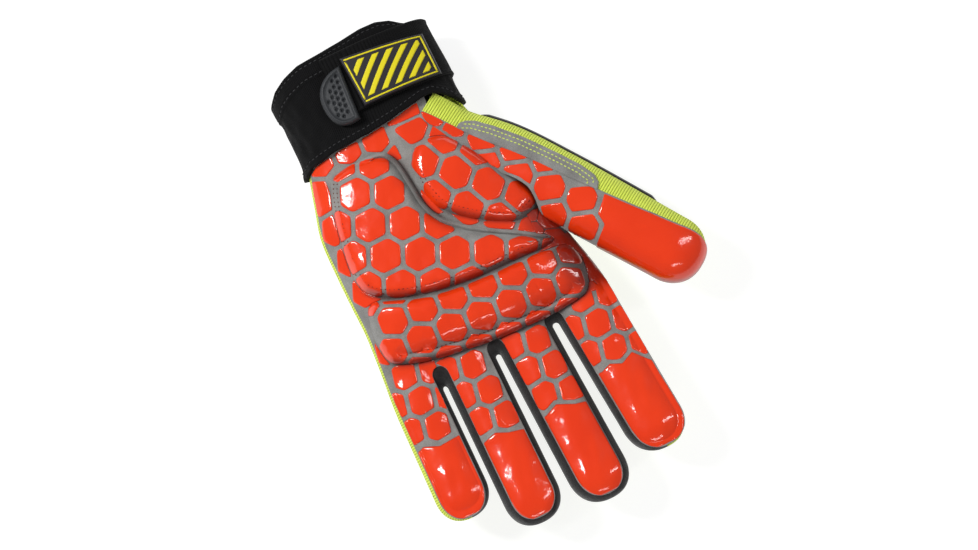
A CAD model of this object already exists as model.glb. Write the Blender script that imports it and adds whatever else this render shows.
"""Impact glove for the left hand, lying on its back with the palm up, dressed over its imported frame.
Metres, +Z up. The fingers point to -Y, the cuff to +Y and the thumb to +X."""

import bmesh
import bpy
import numpy as np
from mathutils import Matrix, Vector


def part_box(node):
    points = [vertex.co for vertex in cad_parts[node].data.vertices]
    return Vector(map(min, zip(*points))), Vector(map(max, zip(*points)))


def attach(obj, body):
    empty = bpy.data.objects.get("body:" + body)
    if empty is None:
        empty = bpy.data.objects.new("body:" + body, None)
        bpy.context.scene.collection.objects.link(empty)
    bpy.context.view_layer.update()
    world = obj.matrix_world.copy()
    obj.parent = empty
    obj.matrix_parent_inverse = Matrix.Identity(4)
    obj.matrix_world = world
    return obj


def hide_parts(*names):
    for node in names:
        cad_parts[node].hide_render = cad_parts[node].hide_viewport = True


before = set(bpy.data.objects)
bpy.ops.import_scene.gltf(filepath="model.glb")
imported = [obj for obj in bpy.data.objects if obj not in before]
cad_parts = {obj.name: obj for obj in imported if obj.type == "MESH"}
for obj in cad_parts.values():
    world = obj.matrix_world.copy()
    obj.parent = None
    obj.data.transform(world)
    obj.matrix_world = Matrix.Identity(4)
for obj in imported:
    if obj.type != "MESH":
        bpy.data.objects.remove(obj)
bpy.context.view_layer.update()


# Palm leather
# The palm and the fronts of the fingers are one skin of thin grey synthetic suede. It is cut with a slit
# between each two fingers, and sewn to the side walls and to the stretch back with its edges turned in.

MM = 0.001

# The hand's main lines are shares of the palm panel's packed box. The box gives no thickness or curl, so
# those are typical sizes.
palm_low, palm_high = (np.array(corner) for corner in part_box("palm_panel"))
palm_size = palm_high - palm_low
MIDDLE_X = palm_low[0] + 0.469 * palm_size[0]
CROTCH_Y = palm_low[1] + 0.4185 * palm_size[1]
PALM_WIDTH = 0.941 * palm_size[0]
PALM_LENGTH = 0.555 * palm_size[1]
SEAM_Y = CROTCH_Y + PALM_LENGTH
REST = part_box("back_panel")[0].z
PALM_THICK = 35 * MM
HAND_Z = REST + 0.48 * PALM_THICK
FINGER_LENGTH = 88 * MM
FINGER_THICK = 23 * MM
FINGER_CURL = 9 * MM
FINGER_DROP = 0.02 * PALM_THICK
CURL_POWER = 1.6
TIP_STRETCH = 1.08

# Palm sections: along the palm's length, left and right shares of its width, low and high shares of its
# thickness, and the power of the rounded square.
PALM_SECTIONS = np.array([
    (-0.30, 0.505, 0.530, 0.20, 0.78, 2.5),
    (0.00, 0.503, 0.530, 0.12, 0.80, 2.6),
    (0.12, 0.492, 0.516, 0.05, 0.92, 2.6),
    (0.28, 0.481, 0.478, 0.00, 1.00, 2.7),
    (0.40, 0.483, 0.462, 0.00, 1.00, 2.7),
    (0.55, 0.483, 0.440, 0.00, 1.00, 2.6),
    (0.72, 0.475, 0.395, 0.00, 1.00, 2.5),
    (0.86, 0.438, 0.350, 0.00, 0.99, 2.4),
    (1.00, 0.402, 0.310, 0.00, 0.98, 2.4),
    (1.30, 0.400, 0.300, 0.00, 0.97, 2.3),
])

# Fingers from the little one: centre and width at the root and at the tip, reach, thickness, and how far
# the seam lies in from the outline on the little-finger side, at the tip and on the thumb side.
FINGERS = np.array([
    (-0.396, -0.409, 0.226, 0.236, 0.770, 0.93, 0.075, 0.05, 0.090),
    (-0.147, -0.153, 0.240, 0.245, 0.956, 0.97, 0.130, 0.20, 0.110),
    (0.116, 0.142, 0.252, 0.262, 1.000, 1.00, 0.130, 0.18, 0.120),
    (0.397, 0.444, 0.262, 0.256, 0.886, 1.00, 0.100, 0.06, 0.002),
])
FINGER_SQUARE = 2.3
TIP_SQUARE = 2.3
SLIT_TOP = CROTCH_Y + 2.4 * MM
SLIT_ROUND = 4.5 * MM
LITTLE_MARGIN = 1.4 * MM
INDEX_MARGIN = 0.9985

# The dip beside the thumb's web: its place and reach, across and along, in shares of the palm's width and
# length, and how much of the hand's rise it takes.
DIP_PLACE = (0.54, 0.27)
DIP_REACH = (0.115, 0.16)
DIP_SHARE = 0.45


def smooth(low, high, value):
    """0 below low, 1 above high, and an S-curve between."""
    t = np.clip((value - low) / (high - low), 0, 1)
    return t * t * (3 - 2 * t)


def curve(keys, values, at):
    """A soft curve through the pairs (keys, values): cubic pieces whose slopes are the mean of the
    slopes on either side, level past both ends."""
    keys = np.asarray(keys, float)
    values = np.asarray(values, float)
    slopes = np.gradient(values, keys)
    at = np.clip(at, keys[0], keys[-1])
    i = np.clip(np.searchsorted(keys, at, side="right") - 1, 0, len(keys) - 2)
    step = keys[i + 1] - keys[i]
    t = (at - keys[i]) / step
    start = (1 + 2 * t) * (1 - t) ** 2 * values[i] + t * (1 - t) ** 2 * step * slopes[i]
    return start + t * t * (3 - 2 * t) * values[i + 1] + t * t * (t - 1) * step * slopes[i + 1]


def dome(share, square):
    """Height of a rounded square of unit size above its middle, at a share of its half width."""
    return np.clip(1 - np.abs(share) ** square, 0, 1) ** (1 / square)


def rounded(value, square):
    """A sine or cosine bent to a rounded square's: its size to the power 2 / square, its sign kept."""
    return np.sign(value) * np.abs(value) ** (2 / square)


def ripple(x, y, length, seed):
    """A gentle unevenness from -1 to 1: five crossing sine waves of about that length."""
    turns = np.random.default_rng(seed).uniform(0, 2 * np.pi, (5, 2))
    total = 0
    for k, (way, phase) in enumerate(turns):
        reach = 2 * np.pi / (length * (0.7 + 0.16 * k))
        total = total + np.sin(reach * (x * np.cos(way) + y * np.sin(way)) + phase)
    return total / 3.4


def section_at(sections, along, width, thick):
    """A table's section at a place along it: the shift of its middle, half width, middle height and half
    thickness, in metres, and the power of its rounded square."""
    left, right, low, high, square = (curve(sections[:, 0], c, along) for c in sections[:, 1:].T)
    return (width * (right - left) / 2, width * (left + right) / 2,
            thick * (low + high) / 2, thick * (high - low) / 2, square)


def palm_along(y):
    """Share of the palm's length at y: 0 at the crotch and 1 at the cuff's seam."""
    return (y - CROTCH_Y) / PALM_LENGTH


def palm_section(y):
    """Centre, half width, middle height, half thickness and power of the palm's section at y."""
    shift, half, middle, thick, square = section_at(PALM_SECTIONS, palm_along(y), PALM_WIDTH, PALM_THICK)
    return MIDDLE_X + shift, half, REST + middle, thick, square


def section_share(y):
    """From 0 where the hand's sections are the fingers' to 1 where they are the palm's."""
    return smooth(-0.02, 0.13, palm_along(y))


def outline_share(y):
    """From 0 where the hand's outline is a finger's side to 1 where it is the palm's."""
    return smooth(-0.12, 0.05, palm_along(y))


def finger_share(i, y):
    return np.clip((CROTCH_Y - y) / (FINGERS[i, 4] * FINGER_LENGTH), 0, 1)


def finger_line(i, y):
    """Centre, half width, middle height and half thickness of finger i at y."""
    root, tip, base, end, reach, thick = FINGERS[i, :6]
    share = finger_share(i, y)
    centre = MIDDLE_X + PALM_WIDTH * (root + (tip - root) * share)
    half = PALM_WIDTH * (base + (end - base) * share) / 2
    curl = np.clip((CROTCH_Y - y) / FINGER_LENGTH, 0, None) ** CURL_POWER
    return centre, half, HAND_Z - FINGER_DROP + FINGER_CURL * curl, thick * FINGER_THICK / 2 + 0 * y


def finger_tip(i):
    """Y of finger i's tip, and the length of its round end."""
    tip = CROTCH_Y - FINGERS[i, 4] * FINGER_LENGTH
    return tip, finger_line(i, np.float64(tip))[1] * TIP_STRETCH


def finger_rise(i, x, y):
    """Height of finger i's front above its middle at (x, y): a rounded square across, closed by a
    rounded end, and level past the seams that face another finger."""
    centre, half, middle, thick = finger_line(i, y)
    tip, end = finger_tip(i)
    past = np.clip((tip + end - y) / end, 0, None)
    side = (x - centre) / half
    if i > 0:
        side = np.maximum(side, -1 + 2 * FINGERS[i, 6])
    if i < 3:
        side = np.minimum(side, 1 - 2 * FINGERS[i, 8])
    share = (np.abs(side) ** TIP_SQUARE + past ** TIP_SQUARE) ** (1 / TIP_SQUARE)
    return thick * dome(share, FINGER_SQUARE)


def hand_form(x, y):
    """Middle height and rise of the bare hand's front at (x, y). The palm's section turns into the
    four fingers' sections over a short stretch above the slits."""
    centre, half, middle, thick, square = palm_section(y)
    palm = thick * dome((x - centre) / half, square)
    rises = np.array([finger_rise(i, x, y) for i in range(4)])
    middles = np.array([finger_line(i, y)[2] for i in range(4)])
    best = rises.argmax(0)
    finger = np.take_along_axis(rises, best[None], 0)[0]
    finger_middle = np.take_along_axis(middles, best[None], 0)[0]
    blend = section_share(y)
    return finger_middle + (middle - finger_middle) * blend, finger + (palm - finger) * blend


def soft_leather(x, y):
    """Unevenness of worn leather over a filled hand: a long swell and short wrinkles."""
    swell = 0.45 * MM * ripple(x, y, 34 * MM, 3)
    wrinkles = 0.16 * MM * ripple(x, y, 9 * MM, 4)
    return swell + wrinkles


def front_height(x, y):
    """Height of the glove's front skin at (x, y). Beside the thumb's web the palm falls away."""
    middle, rise = hand_form(x, y)
    fade = np.clip(rise / (6 * MM), 0, 1)
    across = (x - MIDDLE_X - DIP_PLACE[0] * PALM_WIDTH) / (DIP_REACH[0] * PALM_WIDTH)
    along = (y - CROTCH_Y - DIP_PLACE[1] * PALM_LENGTH) / (DIP_REACH[1] * PALM_LENGTH)
    dip = np.exp(-across ** 2 - along ** 2)
    return middle + rise * (1 - DIP_SHARE * dip) + soft_leather(x, y) * fade


def lifted(x, y, height, lift):
    """Points on a height function, moved out along its normal by a distance."""
    step = 0.2 * MM
    z = height(x, y)
    slope_x = (height(x + step, y) - height(x - step, y)) / (2 * step)
    slope_y = (height(x, y + step) - height(x, y - step)) / (2 * step)
    normal = np.stack([-slope_x, -slope_y, np.ones_like(z)], -1)
    normal /= np.linalg.norm(normal, axis=-1, keepdims=True)
    return np.stack([x, y, z], -1) + normal * np.asarray(lift)[..., None]


def tip_round(i, y, inset):
    """Share of finger i's width left at y, where a seam lying in from the tip rounds it."""
    tip, end = finger_tip(i)
    reach = end - inset
    past = np.clip((tip + end - y) / reach, 0, 1)
    return (1 - past ** TIP_SQUARE) ** (1 / TIP_SQUARE)


def little_edge(y):
    """X of the seam on the little-finger side of the palm, where the stretch back comes round."""
    centre, half = palm_section(y)[:2]
    return centre - half + LITTLE_MARGIN


def index_edge(y):
    """X of the palm's outline on the index-finger side."""
    centre, half = palm_section(y)[:2]
    return centre + half * INDEX_MARGIN


def seam_sides(i, y):
    """X of finger i's two front seams at y, before the slits round them."""
    centre, half = finger_line(i, y)[:2]
    little_inset, tip_inset, thumb_inset = FINGERS[i, 6:9]
    width = tip_round(i, y, tip_inset * half)
    left = centre - half * (1 - 2 * little_inset) * width
    right = centre + half * (1 - 2 * thumb_inset) * width
    return left, right


def slit_sides(j, y):
    """X of the two seams along the slit between fingers j and j + 1. They close in a round top."""
    right = seam_sides(j, np.minimum(y, SLIT_TOP))[1]
    left = seam_sides(j + 1, np.minimum(y, SLIT_TOP))[0]
    shut = np.clip((y - SLIT_TOP + SLIT_ROUND) / SLIT_ROUND, 0, 1)
    half_gap = (left - right) / 2 * np.sqrt(1 - shut ** 2)
    return (left + right) / 2 - half_gap, (left + right) / 2 + half_gap


CUFF_TUCK = 6 * MM
CREASE_TUCK = 4 * MM

# The crease between the palm and the thumb, from the cuff down: across and along, in shares of the palm's
# width and length.
THUMB_CREASE = np.array([
    (0.140, 1.06), (0.141, 0.945), (0.193, 0.876), (0.233, 0.795), (0.268, 0.722), (0.325, 0.637),
    (0.384, 0.570), (0.407, 0.513), (0.411, 0.451), (0.410, 0.383), (0.425, 0.330), (0.470, 0.268),
])


def crease_x(y):
    """X of the crease between the palm and the thumb's front panel at y."""
    return MIDDLE_X + PALM_WIDTH * curve(THUMB_CREASE[::-1, 1], THUMB_CREASE[::-1, 0], palm_along(y))


def palm_right(y):
    """X of the palm leather's thumb-side edge: the outline by the index finger, and past the crease,
    where it runs on under the thumb's panel."""
    under = smooth(0.255, 0.30, palm_along(y))
    return index_edge(y) * (1 - under) + np.minimum(crease_x(y) + CREASE_TUCK, index_edge(y)) * under


def strip_edges(i, y):
    """X of both edges of finger i's strip of leather, from the cuff to the fingertip."""
    spread = np.clip((y - SLIT_TOP) / (SEAM_Y - SLIT_TOP), 0, 1)

    def inner_edge(slit_x, k):
        return slit_x * (1 - spread) + (little_edge(y) + (palm_right(y) - little_edge(y)) * k / 4) * spread

    left, right = seam_sides(i, y)
    if i == 0:
        left = left + (little_edge(y) - left) * outline_share(y)
    else:
        left = inner_edge(slit_sides(i - 1, y)[1], i)
    if i == 3:
        right = right + (palm_right(y) - right) * outline_share(y)
    else:
        right = inner_edge(slit_sides(i, y)[0], i + 1)
    return left, right


def strip_rows(i, cuff_rows, finger_rows, tip_inset):
    """Y of a strip's rows: even down the palm, then closer together at the slit and at the tip."""
    tip, _ = finger_tip(i)
    end = tip + tip_inset
    palm_rows = np.linspace(SEAM_Y + CUFF_TUCK, SLIT_TOP, cuff_rows)
    turn = np.pi * np.arange(1, finger_rows + 1) / finger_rows
    return np.concatenate([palm_rows, SLIT_TOP + (end - SLIT_TOP) * (1 - np.cos(turn)) / 2])


def strip_plan(i, columns, cuff_rows=100, finger_rows=86):
    """X and Y of a grid over finger i's strip, closer together at the edge that turns down."""
    half = finger_line(i, CROTCH_Y)[1]
    y = strip_rows(i, cuff_rows, finger_rows, FINGERS[i, 7] * half)[:, None]
    left, right = strip_edges(i, y)
    share = np.linspace(0, 1, columns)[None, :]
    if i == 0:
        share = 1 - np.sin((1 - share) * np.pi / 2)
    if i == 3:
        share = np.sin(share * np.pi / 2)
    return left + (right - left) * share, y + 0 * share


def new_mesh(name, points, faces, spread=None):
    """A smooth-shaded object from points and four-cornered faces. spread gives each point its place on
    the cloth, in metres, which becomes the UV map."""
    mesh = bpy.data.meshes.new(name)
    mesh.from_pydata(np.asarray(points).reshape(-1, 3).tolist(), [], np.asarray(faces).tolist())
    if spread is not None:
        layer = mesh.uv_layers.new(name="cloth")
        corners = np.asarray(spread).reshape(-1, 2)[np.asarray(faces).ravel()]
        layer.data.foreach_set("uv", corners.astype(np.float32).ravel())
    mesh.shade_smooth()
    piece = bpy.data.objects.new(name, mesh)
    bpy.context.scene.collection.objects.link(piece)
    return piece


def add_folds(piece, depth, flanks):
    """Stores how deep in a fold each point of the front lies, times depth, which the materials darken.
    Where a skin turns down at its flanks, it counts as a fold of the depth flanks."""
    places, normals = np.empty((2, len(piece.data.vertices) * 3))
    piece.data.vertices.foreach_get("co", places)
    piece.data.vertices.foreach_get("normal", normals)
    x, y, z = places.reshape(-1, 3).T
    in_front = smooth(HAND_Z - 12 * MM, HAND_Z - 5 * MM, z)
    turned_down = smooth(0.50, 0.05, normals[2::3])
    values = np.maximum(depth * (fold_depth(x, y) * in_front), flanks * turned_down)
    layer = piece.data.attributes.new("fold", "FLOAT", "POINT")
    layer.data.foreach_set("value", values.astype(np.float32))


def grid_faces(rows, columns, ring=False, start=0, flip=False):
    """Faces of a grid of points, row by row. ring joins the last column to the first."""
    i, j = np.meshgrid(np.arange(rows - 1), np.arange(columns if ring else columns - 1), indexing="ij")
    a = i * columns + j
    b = i * columns + (j + 1) % columns
    corners = np.stack([a, b, b + columns, a + columns], -1).reshape(-1, 4) + start
    return corners[:, ::-1] if flip else corners


def weld(piece, distance, outwards=False):
    """Merges a piece's points nearer than a distance, and turns the faces of a closed form outwards."""
    work = bmesh.new()
    work.from_mesh(piece.data)
    bmesh.ops.remove_doubles(work, verts=work.verts, dist=distance)
    if outwards:
        bmesh.ops.recalc_face_normals(work, faces=work.faces)
        if work.calc_volume(signed=True) < 0:
            bmesh.ops.reverse_faces(work, faces=work.faces)
    work.to_mesh(piece.data)
    work.free()


def patchwork(name, grids, spreads=None, flip=False, merge=0.0, closed=False):
    """One object from several grids. Points nearer than merge are merged, and the faces of a closed form
    are turned outwards."""
    faces = []
    start = 0
    for grid in grids:
        faces.append(grid_faces(grid.shape[0], grid.shape[1], start=start, flip=flip))
        start += grid.shape[0] * grid.shape[1]
    points = np.concatenate([grid.reshape(-1, 3) for grid in grids])
    spread = None if spreads is None else np.concatenate([s.reshape(-1, 2) for s in spreads])
    piece = new_mesh(name, points, np.concatenate(faces), spread)
    if merge:
        weld(piece, merge, closed)
    return piece


def thicken(piece, depth):
    """Gives a skin its cloth thickness, inwards."""
    wall = piece.modifiers.new("thickness", "SOLIDIFY")
    wall.thickness = depth
    wall.offset = -1
    wall.use_even_offset = False


def paint(red, green, blue):
    """A colour given as 0 to 255 on a screen, as light."""
    share = np.array([red, green, blue]) / 255
    light = np.where(share <= 0.04045, share / 12.92, ((share + 0.055) / 1.055) ** 2.4)
    return (*light, 1.0)


def shared_effect(name, inputs, outputs):
    """An empty node group with named sockets, and its input and output nodes."""
    group = bpy.data.node_groups.new(name, "ShaderNodeTree")
    for label, kind, value in inputs:
        socket = group.interface.new_socket(label, in_out="INPUT", socket_type="NodeSocket" + kind)
        socket.default_value = value
    for label, kind in outputs:
        group.interface.new_socket(label, in_out="OUTPUT", socket_type="NodeSocket" + kind)
    return group, group.nodes.new("NodeGroupInput"), group.nodes.new("NodeGroupOutput")


def add_node(tree, kind, links=None, **values):
    """A node with its own settings, and its sockets set to values or linked to other sockets."""
    node = tree.nodes.new("ShaderNode" + kind)
    for key, value in values.items():
        setattr(node, key, value)
    for key, value in (links or {}).items():
        if isinstance(value, bpy.types.NodeSocket):
            tree.links.new(value, node.inputs[key])
        else:
            node.inputs[key].default_value = value
    return node


def math(tree, operation, first, second=0.0):
    return add_node(tree, "Math", {0: first, 1: second}, operation=operation).outputs[0]


def mix_colours(tree, share, first, second):
    """The first colour where share is 0 and the second where it is 1. Each may be a socket."""
    return add_node(tree, "Mix", {"Factor": share, 6: first, 7: second}, data_type="RGBA").outputs[2]


# Napped surface: a mottled colour with a fine nap, for suede, knit backs and webbing.
nap, nap_in, nap_out = shared_effect("nap", [
    ("Colour", "Color", (0.2, 0.2, 0.2, 1)), ("Shade", "Color", (0.1, 0.1, 0.1, 1)),
    ("Grain", "Float", 2200.0), ("Mottle", "Float", 120.0)], [("Colour", "Color"), ("Height", "Float")])
place = add_node(nap, "TexCoord").outputs["Object"]
fine = add_node(nap, "TexNoise", {"Vector": place, "Scale": nap_in.outputs["Grain"], "Detail": 3.0,
                                  "Roughness": 0.65})
cloudy = add_node(nap, "TexNoise", {"Vector": place, "Scale": nap_in.outputs["Mottle"], "Detail": 4.0})
share = math(nap, "ADD", math(nap, "MULTIPLY", fine.outputs["Fac"], 0.9),
             math(nap, "MULTIPLY", cloudy.outputs["Fac"], 0.8))
contrast = add_node(nap, "MapRange", {"Value": share, "From Min": 0.62, "From Max": 1.08}).outputs[0]
nap.links.new(mix_colours(nap, contrast, nap_in.outputs["Shade"], nap_in.outputs["Colour"]),
              nap_out.inputs["Colour"])
nap.links.new(fine.outputs["Fac"], nap_out.inputs["Height"])


def new_finish(name, roughness, sheen=0.0, coat=0.0, coat_roughness=0.1, specular=0.5):
    """A material, its node tree and its one Principled shader."""
    material = bpy.data.materials.new(name)
    material.use_nodes = True
    shader = material.node_tree.nodes["Principled BSDF"]
    shader.inputs["Roughness"].default_value = roughness
    shader.inputs["Sheen Weight"].default_value = sheen
    shader.inputs["Sheen Roughness"].default_value = 0.5
    shader.inputs["Coat Weight"].default_value = coat
    shader.inputs["Coat Roughness"].default_value = coat_roughness
    shader.inputs["Specular IOR Level"].default_value = specular
    return material, material.node_tree, shader


def plain_finish(name, colour, roughness, specular):
    """A material of one colour."""
    material, _, shader = new_finish(name, roughness, specular=specular)
    shader.inputs["Base Color"].default_value = colour
    return material


def add_group(tree, group, **values):
    """A node that holds a shared effect, with its sockets set to values."""
    node = tree.nodes.new("ShaderNodeGroup")
    node.node_tree = group
    for key, value in values.items():
        node.inputs[key].default_value = value
    return node


def add_bump(tree, shader, height, depth):
    """Raises the surface by a height map, depth metres from its lowest to its highest, and gives the
    raised surface's normal."""
    normal = add_node(tree, "Bump", {"Height": height, "Distance": depth, "Strength": 1.0}).outputs["Normal"]
    tree.links.new(normal, shader.inputs["Normal"])
    return normal


def napped_finish(name, colour, shade, grain, mottle, depth):
    """Suede or jersey: a nap with grain and mottle, in hollows and spots of the shade."""
    material, tree, shader = new_finish(name, 0.95, sheen=0.25, specular=0.25)
    cloth = add_group(tree, nap, Colour=colour, Shade=shade, Grain=grain, Mottle=mottle)
    tree.links.new(cloth.outputs["Colour"], shader.inputs["Base Color"])
    add_bump(tree, shader, cloth.outputs["Height"], depth)
    return material


def darken_folds(tree, shader, dark):
    """Mixes a dark colour into the base colour where the piece's points lie in a fold."""
    colour = shader.inputs["Base Color"].links[0].from_socket
    fold = add_node(tree, "Attribute", attribute_name="fold").outputs["Fac"]
    tree.links.new(mix_colours(tree, fold, colour, dark), shader.inputs["Base Color"])


grey_suede = napped_finish("grey_suede", paint(150, 150, 147), paint(112, 110, 107), 2600.0, 140.0,
                           0.25 * MM)
darken_folds(grey_suede.node_tree, grey_suede.node_tree.nodes["Principled BSDF"], paint(62, 46, 44))

SUEDE_THICK = 1.0 * MM
SEAM_MERGE = 0.02 * MM
LEATHER_COLUMNS = 33
leather_plans = [strip_plan(i, LEATHER_COLUMNS) for i in range(4)]
leather_grids = [np.stack([x, y, front_height(x, y)], -1) for x, y in leather_plans]
palm_leather = patchwork("palm_leather", leather_grids, flip=True, merge=SEAM_MERGE)
thicken(palm_leather, SUEDE_THICK)
palm_leather.data.materials.append(grey_suede)
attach(palm_leather, "root")
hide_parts("palm_panel")


# Finger side walls
# Each gap between two fingers is lined by one long strip of charcoal jersey. It runs from one fingertip
# round the crotch to the next fingertip, and shows as a dark edge on both sides of the gap.

JERSEY_THICK = 0.9 * MM
SEAM_TUCK = 0.9 * MM
WALL_UNDER = 0.35 * MM
BAND_STEPS = 17
BAND_SUNK = 0.25 * MM
TIP_STEPS = 26
GAP_STEPS = 41


def edge_band(path, outward, half, middle, rise, square, front, back):
    """A band carried along a path in plan: its section is the side of a rounded square, from an inset on
    the front, out to the path, and in to an inset on the back."""
    def turn_of(inset):
        return np.arccos(np.clip(1 - inset / half, 0, 1) ** (square / 2))
    turns = np.linspace(turn_of(front), -turn_of(back), BAND_STEPS, axis=1)
    c, s = np.cos(turns), np.sin(turns)
    out = half[:, None] * (np.abs(c) ** (2 / square)[:, None] - 1) - BAND_SUNK * c
    up = (rise[:, None] - BAND_SUNK) * rounded(s, square[:, None])
    flat = path[:, None, :] + outward[:, None, :] * out[..., None]
    return np.concatenate([flat, (middle[:, None] + up)[..., None]], -1)


def tip_path(i, side):
    """Finger i's round end, from its side to the middle of its tip: outline in plan, way out, half width,
    middle height, half thickness and seam inset."""
    tip, end = finger_tip(i)
    a = np.linspace(0, np.pi / 2, TIP_STEPS)
    c, s = np.cos(a) ** (2 / TIP_SQUARE), np.sin(a) ** (2 / TIP_SQUARE)
    y = tip + end - end * s
    centre, half, middle, thick = finger_line(i, y)
    path = np.stack([centre + side * half * c, y], -1)
    outward = np.stack([side * c ** (TIP_SQUARE - 1) / half, -s ** (TIP_SQUARE - 1) / end], -1)
    outward /= np.linalg.norm(outward, axis=1, keepdims=True)
    side_inset = FINGERS[i, 8 if side > 0 else 6] * 2 * half
    tip_inset = FINGERS[i, 7] * half
    inset = side_inset + (tip_inset - side_inset) * np.sin(a) ** 2
    return path, outward, half, middle, thick, inset


def side_path(i, side, high, count=60):
    """The same for finger i's straight side, from a height y = high down to its round end."""
    tip, end = finger_tip(i)
    y = np.linspace(high, tip + end, count)
    centre, half, middle, thick = finger_line(i, y)
    path = np.stack([centre + side * half, y], -1)
    outward = np.stack([side + 0 * y, 0 * y], -1)
    return path, outward, half, middle, thick, FINGERS[i, 8 if side > 0 else 6] * 2 * half


def join_paths(*parts):
    return [np.concatenate(values) for values in zip(*parts)]


def backwards(part):
    return [value[::-1] for value in part]


WEB_DROP = np.array([6.5, 3.5, 2.0]) * MM
WEB_TUCK = 1.0 * MM


def wall_top(j):
    """Y where the straight sides of gap j end and its crotch starts."""
    return SLIT_TOP - SLIT_ROUND - WEB_DROP[j]


def gap_path(j):
    """The crotch between fingers j and j + 1, as a small half ellipse in plan. The web between them
    slopes down from the round end of the slit."""
    left, right = side_path(j, 1, wall_top(j), 2), side_path(j + 1, -1, wall_top(j), 2)
    a = np.linspace(0, np.pi, GAP_STEPS)
    low, high = left[0][0, 0], right[0][0, 0]
    inset = (left[5][0] + right[5][0]) / 2
    x = (low + high) / 2 - (high - low) / 2 * np.cos(a)
    path = np.stack([x, wall_top(j) + (SLIT_ROUND - inset) * np.sin(a)], -1)
    outward = np.stack([np.cos(a), -np.sin(a)], -1)
    half, middle, thick, inset = (left[k][0] + (right[k][0] - left[k][0]) * a / np.pi for k in (2, 3, 4, 5))
    half = half + WEB_DROP[j] * np.sin(a)
    return [path, outward, half, middle, thick, inset + (WEB_DROP[j] + WEB_TUCK) * np.sin(a)]


def jersey_wrinkles(grid, seed):
    """Soft cross wrinkles of a loose side wall, deepest half way down the wall."""
    rows = np.linspace(0, 1, grid.shape[1])[None, :]
    wave = ripple(grid[..., 0], grid[..., 1], 13 * MM, seed) * np.sin(np.pi * rows)
    grid[..., 2] += 0.5 * MM * wave
    return grid


charcoal_jersey = napped_finish("charcoal_jersey", paint(44, 42, 42), paint(18, 18, 19), 1500.0, 200.0,
                                0.3 * MM)
for j, name in enumerate(["ring_little", "middle_ring", "index_middle"]):
    path, outward, half, middle, rise, inset = join_paths(
        backwards(tip_path(j, 1)), backwards(side_path(j, 1, wall_top(j))), gap_path(j),
        side_path(j + 1, -1, wall_top(j)), tip_path(j + 1, -1))
    square = np.full(len(path), FINGER_SQUARE)
    band = edge_band(path, outward, half, middle, rise, square, inset + SEAM_TUCK, inset + SEAM_TUCK)
    band = jersey_wrinkles(band, 11 + j)
    band[..., 2] = np.minimum(band[..., 2], front_height(band[..., 0], band[..., 1]) - WALL_UNDER)
    wall = patchwork("side_wall_" + name, [band], merge=SEAM_MERGE)
    thicken(wall, JERSEY_THICK)
    wall.data.materials.append(charcoal_jersey)
    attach(wall, "root")
    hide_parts("fourchette_" + name)


# Stretch back
# The back of the hand and fingers is ribbed hi-vis stretch cloth. It comes round the little finger's edge
# and shows beside the palm leather as a thin yellow line, and closes the index finger's outer side.

def shared_rib_group():
    """Ribbed knit: round ribs side by side along u, each a column of small stitches along v."""
    group, source, sink = shared_effect("ribs", [
        ("Colour", "Color", (0.7, 0.9, 0.1, 1)), ("Shade", "Color", (0.3, 0.4, 0.05, 1)),
        ("Rib", "Float", 0.0013), ("Stitch", "Float", 0.0009)], [("Colour", "Color"), ("Height", "Float")])
    cloth = add_node(group, "UVMap", uv_map="cloth").outputs["UV"]
    parts = add_node(group, "SeparateXYZ", {"Vector": cloth})
    across = math(group, "DIVIDE", parts.outputs[0], source.outputs["Rib"])
    along = math(group, "DIVIDE", parts.outputs[1], source.outputs["Stitch"])
    rib = math(group, "ABSOLUTE", math(group, "SINE", math(group, "MULTIPLY", across, np.pi)))
    stitch = math(group, "ABSOLUTE", math(group, "SINE", math(group, "MULTIPLY", along, np.pi)))
    height = math(group, "MULTIPLY", math(group, "POWER", rib, 0.6),
                  math(group, "ADD", math(group, "MULTIPLY", stitch, 0.25), 0.75))
    cloudy = add_node(group, "TexNoise", {"Vector": cloth, "Scale": 90.0, "Detail": 3.0})
    shade = math(group, "ADD", height, math(group, "MULTIPLY", cloudy.outputs["Fac"], 0.5))
    share = add_node(group, "MapRange", {"Value": shade, "From Min": 0.35, "From Max": 1.05}).outputs[0]
    group.links.new(mix_colours(group, share, source.outputs["Shade"], source.outputs["Colour"]),
                    sink.inputs["Colour"])
    group.links.new(height, sink.inputs["Height"])
    return group


ribs = shared_rib_group()


def ribbed_finish(name, colour, shade, rib, stitch, depth, sheen=0.08):
    """Ribbed knit or webbing: ribs and stitches of these widths, with the shade between them."""
    material, tree, shader = new_finish(name, 0.8, sheen=sheen, specular=0.15)
    cloth = add_group(tree, ribs, Colour=colour, Shade=shade, Rib=rib, Stitch=stitch)
    tree.links.new(cloth.outputs["Colour"], shader.inputs["Base Color"])
    add_bump(tree, shader, cloth.outputs["Height"], depth)
    return material


hivis_knit = ribbed_finish("hivis_knit", paint(226, 242, 96), paint(176, 200, 48), 1.25 * MM, 0.9 * MM,
                           0.5 * MM)
KNIT_THICK = 1.0 * MM
OUTLINE_STEPS = 120
BACK_COLUMNS = 15
BACK_TURN = 6 * MM
BAND_CLOTH = 30 * MM


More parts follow.
